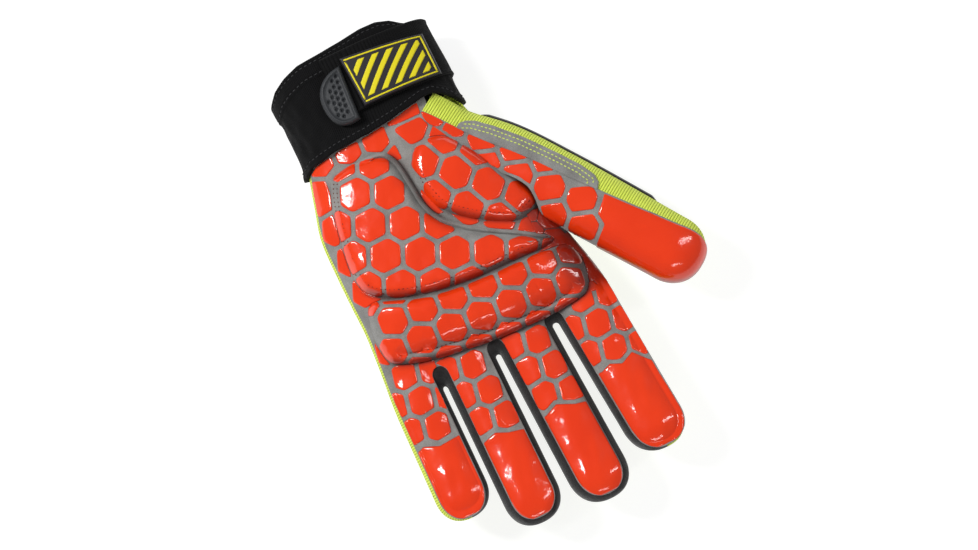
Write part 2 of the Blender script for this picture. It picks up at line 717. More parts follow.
def outline_path(side):
    """Outline of the palm's little-finger side (-1) or index side (1), from the cuff to the round end of
    that side's finger. The palm's section turns into the finger's."""
    i = 0 if side < 0 else 3
    tip, end = finger_tip(i)
    y = np.linspace(SEAM_Y + CUFF_TUCK, tip + end, OUTLINE_STEPS)
    palm_centre, palm_half, *palm_values = palm_section(y)
    centre, half, *values = finger_line(i, y)
    finger_x = centre + side * half
    x = finger_x + (palm_centre + side * palm_half - finger_x) * outline_share(y)
    inset = FINGERS[i, 6 if side < 0 else 8] * 2 * half
    inset = inset + (LITTLE_MARGIN - inset) * outline_share(y) if side < 0 else inset
    half, middle, thick, square = (a + (b - a) * section_share(y) for a, b in
                                   zip((half, *values, FINGER_SQUARE), (palm_half, *palm_values)))
    outward = np.stack([side + 0 * y, 0 * y], -1)
    return [np.stack([x, y], -1), outward, half, middle, thick, inset, square]


def back_height(x, y):
    """Height of the stretch back's outer skin, on the underside of the hand."""
    middle, rise = hand_form(x, y)
    return middle - rise


def reach_along(points):
    """Distance of each point of a path from its start, along the path."""
    return np.concatenate([[0], np.cumsum(np.linalg.norm(np.diff(points, axis=0), axis=1))])


def cloth_grid(first, second):
    """Places on the cloth from two coordinates in metres."""
    return np.stack(np.broadcast_arrays(first, second), -1)


back_grids = []
back_cloth = []
for side in (-1, 1):
    end = [*tip_path(0 if side < 0 else 3, side), np.full(TIP_STEPS, FINGER_SQUARE)]
    path, outward, half, middle, rise, inset, square = join_paths(outline_path(side), end)
    front = inset + SEAM_TUCK if side < 0 else np.maximum(inset - 0.4 * MM, 0.02 * MM)
    band = edge_band(path, outward, half, middle, rise, square, front, np.full(len(path), BACK_TURN))
    back_grids.append(band[:, ::-1] if side < 0 else band)
    back_cloth.append(cloth_grid(reach_along(path)[:, None], np.linspace(0, BAND_CLOTH, BAND_STEPS)))
for i in range(4):
    x, y = strip_plan(i, BACK_COLUMNS, 60, 50)
    if i == 3:
        left = x[:, :1]
        full = left + (index_edge(y[:, -1:]) - 5 * MM - left) * np.linspace(0, 1, BACK_COLUMNS)
        x = x + (full - x) * smooth(0.0, 0.1, palm_along(y))
    back_grids.append(np.stack([x, y, back_height(x, y)], -1)[:, ::-1])
    back_cloth.append(np.stack([y, x], -1)[:, ::-1])
stretch_back = patchwork("stretch_back", back_grids, back_cloth, flip=True, merge=SEAM_MERGE)
thicken(stretch_back, KNIT_THICK)
stretch_back.data.materials.append(hivis_knit)
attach(stretch_back, "root")
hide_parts("back_panel")


# Thumb
# The thumb is a tube of two panels: printed leather in front, from the crease on the palm round its lower
# side, and ribbed hi-vis cloth behind. A crescent of grey suede reinforces the saddle beside the wrist.

THUMB_REACH = 131 * MM
THUMB_WIDTH = 32 * MM
THUMB_THICK = 28 * MM
THUMB_RISE = 10 * MM
THUMB_SQUARE = 2.2
THUMB_TIP = 0.46 * THUMB_WIDTH / THUMB_REACH
THUMB_TIP_POWER = 0.85
THUMB_BLEND = 2.5 * MM
THUMB_OVER = 0.7 * MM
THUMB_ROOT = np.array([MIDDLE_X + 0.243 * PALM_WIDTH, CROTCH_Y + 0.885 * PALM_LENGTH])
thumb_turn = np.radians(34.4)
THUMB_ALONG = np.array([np.sin(thumb_turn), -np.cos(thumb_turn)])
THUMB_ACROSS = np.array([np.cos(thumb_turn), np.sin(thumb_turn)])

# Thumb sections: along its reach, width, thickness and rise as shares of their own sizes.
THUMB_SECTIONS = np.array([
    (-0.20, 0.50, 0.70, 0.00), (0.00, 0.66, 0.82, 0.02), (0.17, 0.93, 0.98, 0.20), (0.42, 1.00, 1.02, 0.60),
    (0.64, 0.985, 0.97, 0.85), (0.80, 0.96, 0.92, 1.00), (1.10, 0.94, 0.86, 1.05)])

# The front panel's upper seam beside the thumb's middle line, in shares of its width, and the turn round
# the tube, in degrees from its outer side, where the panel ends at the crease or under the thumb.
THUMB_SEAM = np.array([(-0.20, -0.10), (-0.12, -0.06), (0.10, 0.00), (0.25, 0.07), (0.48, 0.13),
                       (0.75, 0.24), (0.92, 0.33), (1.10, 0.60)])
THUMB_LOW_TURN = np.array([(-0.12, 122), (0.06, 126), (0.21, 124), (0.29, 119), (0.34, 123), (0.386, 141),
                           (0.434, 178), (0.50, 205), (0.60, 215), (1.10, 215)])


def thumb_section(along):
    return [curve(THUMB_SECTIONS[:, 0], values, along) * size for values, size in
            zip(THUMB_SECTIONS.T[1:], (THUMB_WIDTH / 2, THUMB_THICK / 2, THUMB_RISE))]


def thumb_rows(first, count, tip_count):
    """Along and size of a thumb grid's rows: even up to the round end, which closes by a sine."""
    start = 1 - THUMB_TIP
    a = np.linspace(0, np.pi / 2, tip_count + 1)[1:]
    return (np.concatenate([np.linspace(first, start, count), start + THUMB_TIP * np.sin(a)]),
            np.concatenate([np.ones(count), np.clip(np.cos(a), 0, 1) ** THUMB_TIP_POWER]))


def body_under(x, y):
    """The palm's front, sunk away towards its outline, for what blends into it."""
    middle, rise = hand_form(x, y)
    return middle + rise - 7 * MM * (1 - np.clip(rise / (9 * MM), 0, 1))


def smooth_max(first, second, blend):
    return (first + second + np.sqrt((first - second) ** 2 + blend ** 2)) / 2


def thumb_point(along, size, turns, lift=0.0):
    """Points on the thumb: a rounded square tube along a rising line. Where its front half meets the
    palm, the two heights run together."""
    half, thick, rise = (value[..., None] for value in thumb_section(along))
    size = size[..., None]
    s = np.sin(turns)
    beside = (half + lift) * size * rounded(np.cos(turns), THUMB_SQUARE)
    up = (thick + lift) * size * rounded(s, THUMB_SQUARE)
    forward = along[:, None] * THUMB_REACH + lift * np.sqrt(1 - size ** 2)
    flat = THUMB_ROOT + THUMB_ALONG * forward[..., None] + THUMB_ACROSS * beside[..., None]
    z = HAND_Z + rise + up
    met = smooth_max(z, body_under(flat[..., 0], flat[..., 1]) + lift, THUMB_BLEND)
    near = smooth(0.62, 0.42, along)[:, None] * smooth(-0.1, 0.3, s)
    return np.concatenate([flat, (z + (met - z) * near)[..., None]], -1)


def turn_beside(along, size, beside):
    """The turn round the thumb's tube at a distance beside its middle line."""
    half = thumb_section(along)[0] * size
    share = np.clip(beside / np.maximum(half, 1e-6), -1, 1)
    return np.arccos(np.sign(share) * np.abs(share) ** (THUMB_SQUARE / 2))


def thumb_seam_turn(along, size):
    return turn_beside(along, size, curve(THUMB_SEAM[:, 0], THUMB_SEAM[:, 1], along) * THUMB_WIDTH * size)


def thumb_low_turn(along):
    return np.radians(curve(THUMB_LOW_TURN[:, 0], THUMB_LOW_TURN[:, 1], along))


def between(first, last, count):
    share = np.linspace(0, 1, count)[None, :]
    return first[:, None] + (last - first)[:, None] * share


def thumb_leather(along, size, turns, lift=0.0):
    """The front panel's skin: it lies just over the palm leather, and has soft dents of its own."""
    points = thumb_point(along, size, turns, lift + THUMB_OVER)
    dents = ripple(points[..., 0], points[..., 1], 22 * MM, 21)
    points[..., 2] += 0.3 * MM * dents * np.clip(np.sin(turns), 0, 1) * size[..., None]
    return points


THUMB_START = -0.13
BACK_END_TURN = np.radians(-185)
along, size = thumb_rows(THUMB_START, 150, 36)
turns = between(thumb_seam_turn(along, size), thumb_low_turn(along), 61)
thumb_front = patchwork("thumb_leather", [thumb_leather(along, size, turns)], merge=SEAM_MERGE)
thicken(thumb_front, SUEDE_THICK)
thumb_front.data.materials.append(grey_suede)
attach(thumb_front, "root")
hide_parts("thumb_front")

under = np.maximum(thumb_low_turn(along) - 2 * np.pi, BACK_END_TURN)
turns = between(thumb_seam_turn(along, size) + 0.05, under, 73)
cloth = cloth_grid((along * THUMB_REACH)[:, None], turns * THUMB_WIDTH / 2)
thumb_cloth = patchwork("thumb_stretch_back", [thumb_point(along, size, turns, 0.1 * MM)], [cloth],
                        flip=True, merge=SEAM_MERGE)
thicken(thumb_cloth, KNIT_THICK)
thumb_cloth.data.materials.append(hivis_knit)
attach(thumb_cloth, "root")
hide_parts("thumb_back")

# The patch's outer edge: along the thumb's reach, and beside its middle line in shares of its width.
PATCH_EDGE = np.array([
    (0.005, 0.05), (0.02, 0.13), (0.05, 0.20), (0.12, 0.265), (0.23, 0.325), (0.36, 0.355), (0.46, 0.365),
    (0.52, 0.33), (0.545, 0.26), (0.555, 0.16)])
PATCH_COLUMNS = 31
PATCH_OVER = 0.5 * MM
PATCH_RIM = 1.5 * MM
PATCH_HIGH = 0.9 * MM
PATCH_START, PATCH_END = PATCH_EDGE[0, 0], PATCH_EDGE[-1, 0]
a = np.linspace(0, np.pi, 110)
along = PATCH_START + (PATCH_END - PATCH_START) * (1 - np.cos(a)) / 2
size = np.ones(len(along))
outer = turn_beside(along, size, np.interp(along, *PATCH_EDGE.T) * THUMB_WIDTH)
turns = between(thumb_seam_turn(along, size) + 0.01, outer, PATCH_COLUMNS)
from_rim = np.linspace(1, 0, PATCH_COLUMNS) * np.abs(turns[:, :1] - turns[:, -1:]) * THUMB_THICK / 2
patch_grid = thumb_point(along, size, turns, PATCH_OVER)
patch_grid[..., 2] += PATCH_HIGH * np.sqrt(np.minimum(from_rim, PATCH_RIM) / PATCH_RIM)
patch = patchwork("saddle_patch", [patch_grid], flip=True, merge=0.01 * MM)
thicken(patch, SUEDE_THICK)
patch.data.materials.append(grey_suede)
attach(patch, "root")
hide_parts("thumb_patch")


# Padded overlays
# Three foam pads under their own leather overlays: the heel of the hand, the ball of the thumb and the
# knuckles. Each is a low cushion with steep rounded flanks, sewn down all round on the palm leather.

PAD_RISE = 4.4 * MM
PAD_FLANK = 5 * MM

# Pad outlines seen from above: across from the palm's middle and along from the crotch, as shares of the
# palm's width and length.
HEEL_PAD = np.array([
    (-0.330, 0.895), (-0.372, 0.800), (-0.402, 0.660), (-0.420, 0.520), (-0.403, 0.425), (-0.332, 0.362),
    (-0.217, 0.316), (-0.078, 0.288), (0.082, 0.273), (0.236, 0.272), (0.350, 0.270), (0.400, 0.290),
    (0.330, 0.343), (0.255, 0.388), (0.140, 0.455), (0.042, 0.533), (0.000, 0.590), (-0.022, 0.655),
    (-0.029, 0.731), (-0.036, 0.800), (-0.050, 0.865), (-0.092, 0.910), (-0.184, 0.924), (-0.270, 0.918)])
THENAR_PAD = np.array([
    (0.016, 0.835), (0.052, 0.878), (0.118, 0.884), (0.184, 0.858), (0.240, 0.788), (0.312, 0.668),
    (0.375, 0.575), (0.412, 0.490), (0.398, 0.445), (0.350, 0.424), (0.290, 0.418), (0.180, 0.470),
    (0.088, 0.537), (0.030, 0.596), (0.005, 0.663), (-0.005, 0.731), (-0.001, 0.800)])
KNUCKLE_PAD = np.array([
    (-0.430, 0.340), (-0.452, 0.236), (-0.440, 0.130), (-0.381, 0.086), (-0.248, 0.050), (-0.107, 0.028),
    (0.041, 0.014), (0.195, 0.008), (0.321, 0.013), (0.425, 0.030), (0.466, 0.102), (0.468, 0.194),
    (0.430, 0.246), (0.340, 0.254), (0.227, 0.255), (0.079, 0.258), (-0.075, 0.270), (-0.214, 0.298),
    (-0.335, 0.345), (-0.390, 0.368)])


FOLD_IN = 2.2 * MM
FOLD_OUT = 1.4 * MM
WEB_SHADE = 0.85


def fold_depth(x, y):
    """From 0 on open surfaces to 1 deep in the folds: along the pads' edges, most where they face the
    fingers and less where they face the thumb, and in the web beside the thumb."""
    total = np.zeros(np.shape(x))
    for outline, low, side in ((heel_outline, 1.0, 0.8), (knuckle_outline, 0.9, 0.6),
                               (thenar_outline, 0.7, 0.3)):
        depth, out = inside_by(x, y, outline)
        facing = low * smooth(0.2, 0.8, -out[..., 1]) + side * smooth(0.5, 0.95, out[..., 0])
        near = np.exp(-np.maximum(depth, 0) ** 2 / FOLD_IN ** 2 - np.minimum(depth, 0) ** 2 / FOLD_OUT ** 2)
        total = np.maximum(total, np.clip(facing, 0, 1) * near)
    along = palm_along(y)
    web = smooth(21 * MM, 9 * MM, index_edge(y) - x) * smooth(-0.02, 0.07, along) * smooth(0.50, 0.42, along)
    return np.clip(np.maximum(total, WEB_SHADE * web), 0, 1)


def closed_curve(shares, count):
    """Points spaced evenly along a soft closed curve through the given places on the palm."""
    keys = np.stack([MIDDLE_X + shares[:, 0] * PALM_WIDTH, CROTCH_Y + shares[:, 1] * PALM_LENGTH], -1)
    t = np.linspace(0, len(keys), len(keys) * 40, endpoint=False)
    i = t.astype(int)
    f = (t - i)[:, None]
    before, here, after, later = (keys[(i + k) % len(keys)] for k in (-1, 0, 1, 2))
    dense = here + 0.5 * f * (after - before + f * (2 * before - 5 * here + 4 * after - later
                                                    + f * (3 * (here - after) + later - before)))
    around = np.concatenate([dense, dense[:1]])
    reach = reach_along(around)
    at = np.linspace(0, reach[-1], count, endpoint=False)
    return np.stack([np.interp(at, reach, around[:, k]) for k in (0, 1)], -1)


def inside_by(x, y, outline):
    """Distance of (x, y) inside a closed outline, negative outside it, and the way straight out of it."""
    outline = outline[::3]
    p = np.stack([np.ravel(x), np.ravel(y)], -1)[:, None, :]
    a, b = outline[None], np.roll(outline, -1, 0)[None]
    share = np.clip(((p - a) * (b - a)).sum(-1) / ((b - a) ** 2).sum(-1), 0, 1)
    off = p - a - share[..., None] * (b - a)
    gap = np.linalg.norm(off, axis=-1)
    nearest = gap.argmin(1)
    rows = np.arange(len(nearest))
    crosses = (a[..., 1] > p[..., 1]) != (b[..., 1] > p[..., 1])
    rise = np.where(np.abs(b[..., 1] - a[..., 1]) < 1e-12, 1e-12, b[..., 1] - a[..., 1])
    crosses &= p[..., 0] < a[..., 0] + (b[..., 0] - a[..., 0]) * (p[..., 1] - a[..., 1]) / rise
    inside = np.where(crosses.sum(1) % 2 == 1, 1.0, -1.0)
    out = -off[rows, nearest] * inside[:, None] / (gap[rows, nearest][:, None] + 1e-9)
    return (gap[rows, nearest] * inside).reshape(np.shape(x)), out.reshape(*np.shape(x), 2)


def crown(depth, flank=PAD_FLANK):
    return 1 - (1 - np.clip(depth / flank, 0, 1)) ** 2.2


def bead(depth, radius):
    """Height of a half-round bead of unit height that starts at the outline."""
    return np.sqrt(np.clip(1 - ((depth - radius) / radius) ** 2, 0, 1))


def rolled_share(out):
    """1 where the heel pad's outline faces the thumb side, and its edge is rolled, and 0 elsewhere."""
    return smooth(0.15, 0.6, out[..., 0] + 0.3 * out[..., 1])


def heel_cushion(depth, out):
    """Height over the palm: along the thumb side a thin rolled edge, a groove, and then the cushion."""
    plain = crown(depth)
    ridge = np.maximum(0.62 * bead(depth, 1.1 * MM), 0.12 + 0.88 * crown(depth - 2.3 * MM)) * (depth > 0)
    return PAD_RISE * (plain + (ridge - plain) * rolled_share(out))


def thenar_cushion(depth, out):
    """Height over the palm: a plain crown, the same on all sides."""
    return PAD_RISE * 0.95 * crown(depth)


def knuckle_cushion(depth, out):
    """Height over the palm: along the finger side a thick round rib, a groove, and then the cushion."""
    ribbed = smooth(0.35, 0.8, -out[..., 1])
    plain = crown(depth)
    rib = 0.80 * bead(depth, 2.2 * MM)
    folded = np.maximum(rib, 0.3 + 0.75 * crown(depth - 4.3 * MM, 6 * MM)) * (depth > 0)
    folded = np.minimum(folded, 2.2 * np.sqrt(np.clip(depth / (2 * MM), 0, 4)))
    return PAD_RISE * (plain + (folded - plain) * ribbed)


def pad_height(x, y, outline, cushion):
    """Height of a pad's skin at (x, y): the palm's front, and over it the cushion with a slight swell."""
    depth, out = inside_by(x, y, outline)
    swell = 0.35 * MM * ripple(x, y, 24 * MM, 31) * crown(depth)
    return front_height(x, y) + cushion(depth, out) + swell


PAD_RINGS = 58


def pad_piece(name, node, outline, centre, cushion):
    """A closed cushion: rings round a centre, closer together on the flanks, and a bottom on the palm.
    The centre is given in millimetres."""
    centre = np.array(centre) * MM
    share = 1 - (1 - np.linspace(0, 1, PAD_RINGS)) ** 1.35
    share = np.sin(share * np.pi / 2)[:, None, None]
    flat = centre + (outline[None] - centre) * share
    top = np.concatenate([flat, pad_height(flat[..., 0], flat[..., 1], outline, cushion)[..., None]], -1)
    low = flat[::-3]
    bottom = np.concatenate([low, front_height(low[..., 0], low[..., 1])[..., None] - 0.05 * MM], -1)
    grid = np.concatenate([top, bottom])
    grid = np.concatenate([grid, grid[:, :1]], 1)
    pad = patchwork(name, [grid], merge=0.002 * MM, closed=True)
    pad.data.materials.append(grey_suede)
    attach(pad, "root")
    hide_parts(node)
    return pad


heel_outline = closed_curve(HEEL_PAD, 460)
thenar_outline = closed_curve(THENAR_PAD, 260)
knuckle_outline = closed_curve(KNUCKLE_PAD, 460)
heel_pad = pad_piece("heel_cushion", "heel_pad", heel_outline, (-45, 30), heel_cushion)
thenar_pad = pad_piece("thenar_cushion", "thenar_pad", thenar_outline, (0, 38), thenar_cushion)
knuckle_pad = pad_piece("knuckle_cushion", "knuckle_pad", knuckle_outline, (-20, -18), knuckle_cushion)


# Cuff
# A tube of black stretch knit with a doubled hem at the open end and a turned seam where it meets the
# hand. It lies round the wrist and stays open.

WRIST_WIDTH = 80 * MM
WRIST_THICK = 37 * MM
CUFF_LENGTH = 46 * MM
CUFF_PROUD = 1.5 * MM
WRIST_X = MIDDLE_X - 0.062 * WRIST_WIDTH
WRIST_SQUARE = 2.3
WRIST_RADIUS = 38 * MM

# Cuff sections along its length: left and right shares of the wrist's width, low and high shares of its
# thickness, and the power of the rounded square.
CUFF_SECTIONS = np.array([
    (-0.35, 0.550, 0.520, 0.00, 0.960, 2.4), (0.00, 0.503, 0.497, 0.00, 0.965, 2.35),
    (0.35, 0.492, 0.500, 0.00, 0.970, 2.3), (0.70, 0.505, 0.490, 0.00, 0.980, 2.3),
    (1.25, 0.505, 0.485, 0.01, 1.000, 2.3)])

# The cuff's two edges: across in shares of the wrist's width, and along from the seam in shares of the
# cuff's length.
CUFF_SEAM_EDGE = np.array([
    (-0.75, -0.10), (-0.51, -0.10), (-0.44, -0.03), (-0.27, 0.00), (-0.08, 0.01), (0.13, 0.06),
    (0.28, 0.12), (0.35, 0.12), (0.43, 0.04), (0.48, -0.05), (0.60, -0.14), (0.75, -0.14)])
CUFF_OPEN_EDGE = np.array([
    (-0.75, 0.74), (-0.50, 0.75), (-0.44, 0.85), (-0.37, 0.91), (-0.27, 0.96), (-0.13, 0.97),
    (0.01, 0.99), (0.14, 1.02), (0.24, 1.02), (0.32, 0.98), (0.37, 0.92), (0.44, 0.86), (0.46, 0.89),
    (0.50, 0.90), (0.75, 0.90)])


def wrist_section(y, proud):
    """Centre, half width, middle height, half thickness and power of the wrist's section at y, standing
    proud of the wrist's form."""
    along = (y - SEAM_Y) / CUFF_LENGTH
    shift, half, middle, thick, square = section_at(CUFF_SECTIONS, along, WRIST_WIDTH, WRIST_THICK)
    return WRIST_X + shift, half + proud, REST + middle, thick + proud, square


def cuff_point(turn, y, proud):
    """Points of the wrist's tube at turns round it and at y, standing proud of the wrist's form."""
    centre, half, middle, thick, square = wrist_section(y, proud)
    x = centre + half * rounded(np.cos(turn), square)
    z = middle + thick * rounded(np.sin(turn), square)
    return np.stack([x, y + 0 * x, z], -1)


def cuff_edge_at(share, edge):
    """Y of one of the cuff's edges at a share of the wrist's width from its middle."""
    return SEAM_Y + CUFF_LENGTH * np.interp(share, *edge.T)


def cuff_edge_round(turn, edge):
    """Y of one of the cuff's edges at a turn round the wrist."""
    return cuff_edge_at(0.5 * rounded(np.cos(turn), WRIST_SQUARE), edge)


# The cuff's sewn rows: distances in from its open edge and from its seam.
HEM_ROWS = (2.2 * MM, 8.0 * MM)
SEAM_ROW = 3.0 * MM
GROOVE_WIDE = 0.35 * MM
turns = np.linspace(0, 2 * np.pi, 261)[None, :-1]
rows = np.linspace(0, 1, 76)[:, None]
seam_y = cuff_edge_round(turns, CUFF_SEAM_EDGE)
open_y = cuff_edge_round(turns, CUFF_OPEN_EDGE)
cuff_y = seam_y + (open_y - seam_y) * rows
from_seam, from_open = cuff_y - seam_y, open_y - cuff_y
hem = 0.55 * MM * (smooth(9.6 * MM, 9.0 * MM, from_open) + smooth(4.4 * MM, 3.8 * MM, from_seam))
from_rows = [from_open - HEM_ROWS[0], from_open - HEM_ROWS[1], from_seam - SEAM_ROW]
groove = 0.5 * MM * sum(np.exp(-(depth / GROOVE_WIDE) ** 2) for depth in from_rows)
puckers = 0.35 * MM * ripple(turns * 40 * MM, cuff_y, 12 * MM, 41) * smooth(3 * MM, 12 * MM, from_open)
edge_round = 0.9 * MM * (1 - np.sqrt(1 - np.clip(1 - from_open / (1.2 * MM), 0, 1) ** 2))
proud = CUFF_PROUD + hem - groove + puckers - edge_round
cuff_grid = cuff_point(turns + 0 * rows, cuff_y, proud)
cuff_grid = np.concatenate([cuff_grid, cuff_grid[:, :1]], 1)
cloth = cloth_grid(np.append(turns[0], 2 * np.pi) * WRIST_RADIUS,
                   np.concatenate([cuff_y, cuff_y[:, :1]], 1))
black_knit = ribbed_finish("black_knit", paint(7, 7, 8), paint(2, 2, 3), 0.9 * MM, 0.7 * MM, 0.25 * MM, 0.02)
cuff = patchwork("knit_cuff", [cuff_grid], [cloth], flip=True, merge=0.01 * MM)
thicken(cuff, 2 * MM)
cuff.data.materials.append(black_knit)
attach(cuff, "root")
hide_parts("cuff")


# Cuff strap
# A woven closure strap wraps the wrist from the back, round the thumb side, to the pull tab on the front.

STRAP_WIDTH = 30 * MM
STRAP_THICK = 2.2 * MM
STRAP_Y = SEAM_Y + 0.57 * CUFF_LENGTH
STRAP_IN = CUFF_PROUD + 0.3 * MM
strap_turns = np.linspace(np.radians(103), np.radians(-106), 170)[None, :]
strap_across = np.linspace(-1, 1, 41)[:, None]
strap_y = STRAP_Y + strap_across * STRAP_WIDTH / 2 + 0 * strap_turns
selvage = 0.35 * MM * smooth(0.86, 0.93, np.abs(strap_across))
edge_round = 0.8 * MM * smooth(0.97, 1.0, np.abs(strap_across))
drawn_in = 1.3 * MM * smooth(np.radians(80), np.radians(52), strap_turns)
strap_proud = STRAP_IN + STRAP_THICK + (selvage - edge_round) - drawn_in
strap_grid = cuff_point(strap_turns + 0 * strap_across, strap_y, strap_proud)
cloth = cloth_grid(strap_turns * WRIST_RADIUS, strap_y)
black_webbing = ribbed_finish("black_webbing", paint(9, 9, 10), paint(3, 3, 3), 1.4 * MM, 0.9 * MM,
                              0.35 * MM, 0.02)
strap = patchwork("closure_strap", [strap_grid], [cloth])
thicken(strap, STRAP_THICK)
strap.data.materials.append(black_webbing)
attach(strap, "root")
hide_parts("cuff_strap")


# Grip print
# Glossy orange-red rubber, printed thick on the grey leather: hexagons over the palm, the pads and the
# thumb, and a full coat on each fingertip. Each patch stands 0.45 mm proud and has a round rim.

PRINT_HIGH = 0.45 * MM
PRINT_GAP = 2.1 * MM
PRINT_SUNK = -0.25 * MM
RIM_SHARES = np.array([0, 0.45, 0.78, 0.90, 0.965, 1.0, 1.01, 0.78, 0.45, 0])
RIM_LIFTS = np.array([1.0, 1.0, 1.0, 0.98, 0.85, 0.45, -0.55, -0.75, -0.75, -0.75])
HEXAGON_RAYS = 42
PRINT_MERGE = 0.002 * MM
PAD_SLACK = 3 * MM
PAD_EDGE = 0.3 * MM
COAT_MARGIN = 0.3 * MM
PAD_OUTLINES = (heel_outline, thenar_outline, knuckle_outline)

# The print's lattices seen from above, in millimetres: the middle of one hexagon, and the ways from it to
# two of its neighbours.
HEEL_LATTICE = ((-39.73, 31.28), (14.67, -6.37), (0.18, -16.04))
THENAR_LATTICE = ((-8.12, 42.59), (11.46, -11.34), (-2.44, -17.43))
KNUCKLE_LATTICE = ((-34.71, -8.81), (14.81, -1.05), (-6.45, -12.70))
CUFF_SIDE_LATTICE = ((-34.8, 74.0), (14.0, -1.0), (-7.5, -13.0))
CUFF_LATTICE = ((-16.5, 80.5), (24.0, -9.0), (-3.0, -14.5))
WEB_LATTICE = ((20.0, -5.0), (9.0, -7.0), (-3.0, -11.0))
FINGER_LATTICES = [(middle, (12.53, -2.71), (1.82, -13.96)) for middle in
                   ((-68.62, -45.09), (-37.63, -54.46), (-5.44, -57.08), (21.17, -48.62))]
THUMB_ROOT_LATTICE = ((-6.0, 75.5), (16.0, -6.0), (-4.0, -17.0))
THUMB_LATTICE = ((28.30, 17.45), (11.05, -11.66), (-4.72, -11.82))


def hexagons(lattice, keep, surface, gap=PRINT_GAP):
    """Points of every hexagon of a lattice that lies where keep is positive. A hexagon's edge is halfway
    to its six neighbours less the gap, and no further than keep allows, with softened corners."""
    origin, first, second = (np.array(place) * MM for place in lattice)
    third = first - np.sign(first @ second) * second
    ways = np.array([first, second, third, -first, -second, -third])
    reach = np.linalg.norm(ways, axis=1)
    i, j = np.meshgrid(np.arange(-14, 15), np.arange(-14, 15), indexing="ij")
    centres = origin + i.reshape(-1, 1) * first + j.reshape(-1, 1) * second
    near = keep(centres[:, 0], centres[:, 1]) > -8 * MM
    centres = centres[near]
    a = np.linspace(0, 2 * np.pi, 12, endpoint=False)
    spots = np.concatenate([[[0, 0]]] + [r * MM * np.stack([np.cos(a + r), np.sin(a + r)], -1)
                                         for r in (1.5, 3.0, 4.5, 6.0)])
    q = centres[:, None] + spots[None]
    inside = keep(q[..., 0], q[..., 1]) > 0.5 * MM
    centres, q, inside = (v[inside.sum(1) > 3] for v in (centres, q, inside))
    middle = (q * inside[..., None]).sum(1) / inside.sum(1)[:, None]
    a = np.linspace(0, 2 * np.pi, HEXAGON_RAYS, endpoint=False)
    rays_out = np.stack([np.cos(a), np.sin(a)], -1)
    unit = ways / reach[:, None]
    room = (reach - gap) / 2 - (middle - centres) @ unit.T
    facing = np.clip(rays_out @ unit.T, 0, None)
    steep = facing[None] / np.maximum(room[:, None], 0.3 * MM)
    steps = np.linspace(0, 11 * MM, 56)
    q = middle[:, None, None] + rays_out[None, :, None] * steps[None, None, :, None]
    allowed = keep(q[..., 0], q[..., 1]) > 0
    stop = np.where(allowed.all(-1), len(steps) - 1, allowed.argmin(-1))
    stop = np.maximum(steps[stop], 0.2 * MM)
    radius = ((steep ** 16).sum(-1) + stop ** -16.0) ** (-1 / 16)
    rings = radius[:, None] * RIM_SHARES[None, :, None]
    flat = middle[:, None, None] + rays_out[None, None] * rings[..., None]
    lift = np.broadcast_to((RIM_LIFTS * PRINT_HIGH)[None, :, None], flat.shape[:-1])
    return surface(flat[..., 0], flat[..., 1], lift)


def print_piece(name, goes_with, blocks=(), grids=()):
    """One object from blocks of hexagons and from coat grids."""
    points, faces, start = [], [], 0
    hexes = [hexagon for block in blocks for hexagon in block]
    for shape, is_hex in [(hexagon, True) for hexagon in hexes] + [(grid, False) for grid in grids]:
        points.append(shape.reshape(-1, 3))
        faces.append(grid_faces(*shape.shape[:2], ring=is_hex, start=start, flip=is_hex))
        start += shape.shape[0] * shape.shape[1]
    piece = new_mesh(name, np.concatenate(points), np.concatenate(faces))
    weld(piece, PRINT_MERGE)
    piece.data.materials.append(grip_rubber)
    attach(piece, "root")
    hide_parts(goes_with)
    return piece


grip_rubber, grip_tree, grip_shader = new_finish("grip_rubber", 0.32, coat=1.0, coat_roughness=0.05,
                                                 specular=0.08)
grip_place = add_node(grip_tree, "TexCoord").outputs["Object"]
grip_cloud = add_node(grip_tree, "TexNoise", {"Vector": grip_place, "Scale": 60.0, "Detail": 2.0})
grip_colour = mix_colours(grip_tree, grip_cloud.outputs["Fac"], paint(224, 50, 8), paint(236, 60, 12))
grip_tree.links.new(grip_colour, grip_shader.inputs["Base Color"])
darken_folds(grip_tree, grip_shader, paint(112, 26, 18))
grip_facing = add_node(grip_tree, "LayerWeight", {"Blend": 0.5}).outputs["Facing"]
grip_gloss = add_node(grip_tree, "MapRange", {"Value": grip_facing, "From Min": 0.55, "From Max": 0.95,
                                             "To Min": 1.0, "To Max": 0.1})
grip_tree.links.new(grip_gloss.outputs[0], grip_shader.inputs["Coat Weight"])
grip_grain = add_node(grip_tree, "TexNoise", {"Vector": grip_place, "Scale": 420.0, "Detail": 3.0,
                                              "Roughness": 0.6})
grip_normal = add_bump(grip_tree, grip_shader, grip_grain.outputs["Fac"], 0.10 * MM)
grip_tree.links.new(grip_normal, grip_shader.inputs["Coat Normal"])


def pad_surface(outline, cushion, slack):
    """The way from a place on the flat cut cloth to the pad's skin. Its flanks take up more cloth than
    they show from above, by the amount that slack gives for the way a flank faces."""
    def surface(x, y, lift):
        depth, out = inside_by(x, y, outline)
        spare = slack(out) + 1e-9
        share = np.clip((depth + spare) / (PAD_FLANK + spare), 0.0, 1)
        drawn = PAD_FLANK * share ** ((PAD_FLANK + spare) / PAD_FLANK)
        shift = np.where(depth < PAD_FLANK, np.maximum(depth, -spare) - drawn, 0.0)
        x, y = x + out[..., 0] * shift, y + out[..., 1] * shift
        return lifted(x, y, lambda u, v: pad_height(u, v, outline, cushion), lift)
    return surface


def heel_slack(out):
    return PAD_SLACK * smooth(0.1, 0.7, -out[..., 1])


def thenar_slack(out):
    return PAD_SLACK * smooth(0.1, 0.7, -out[..., 1] - out[..., 0])


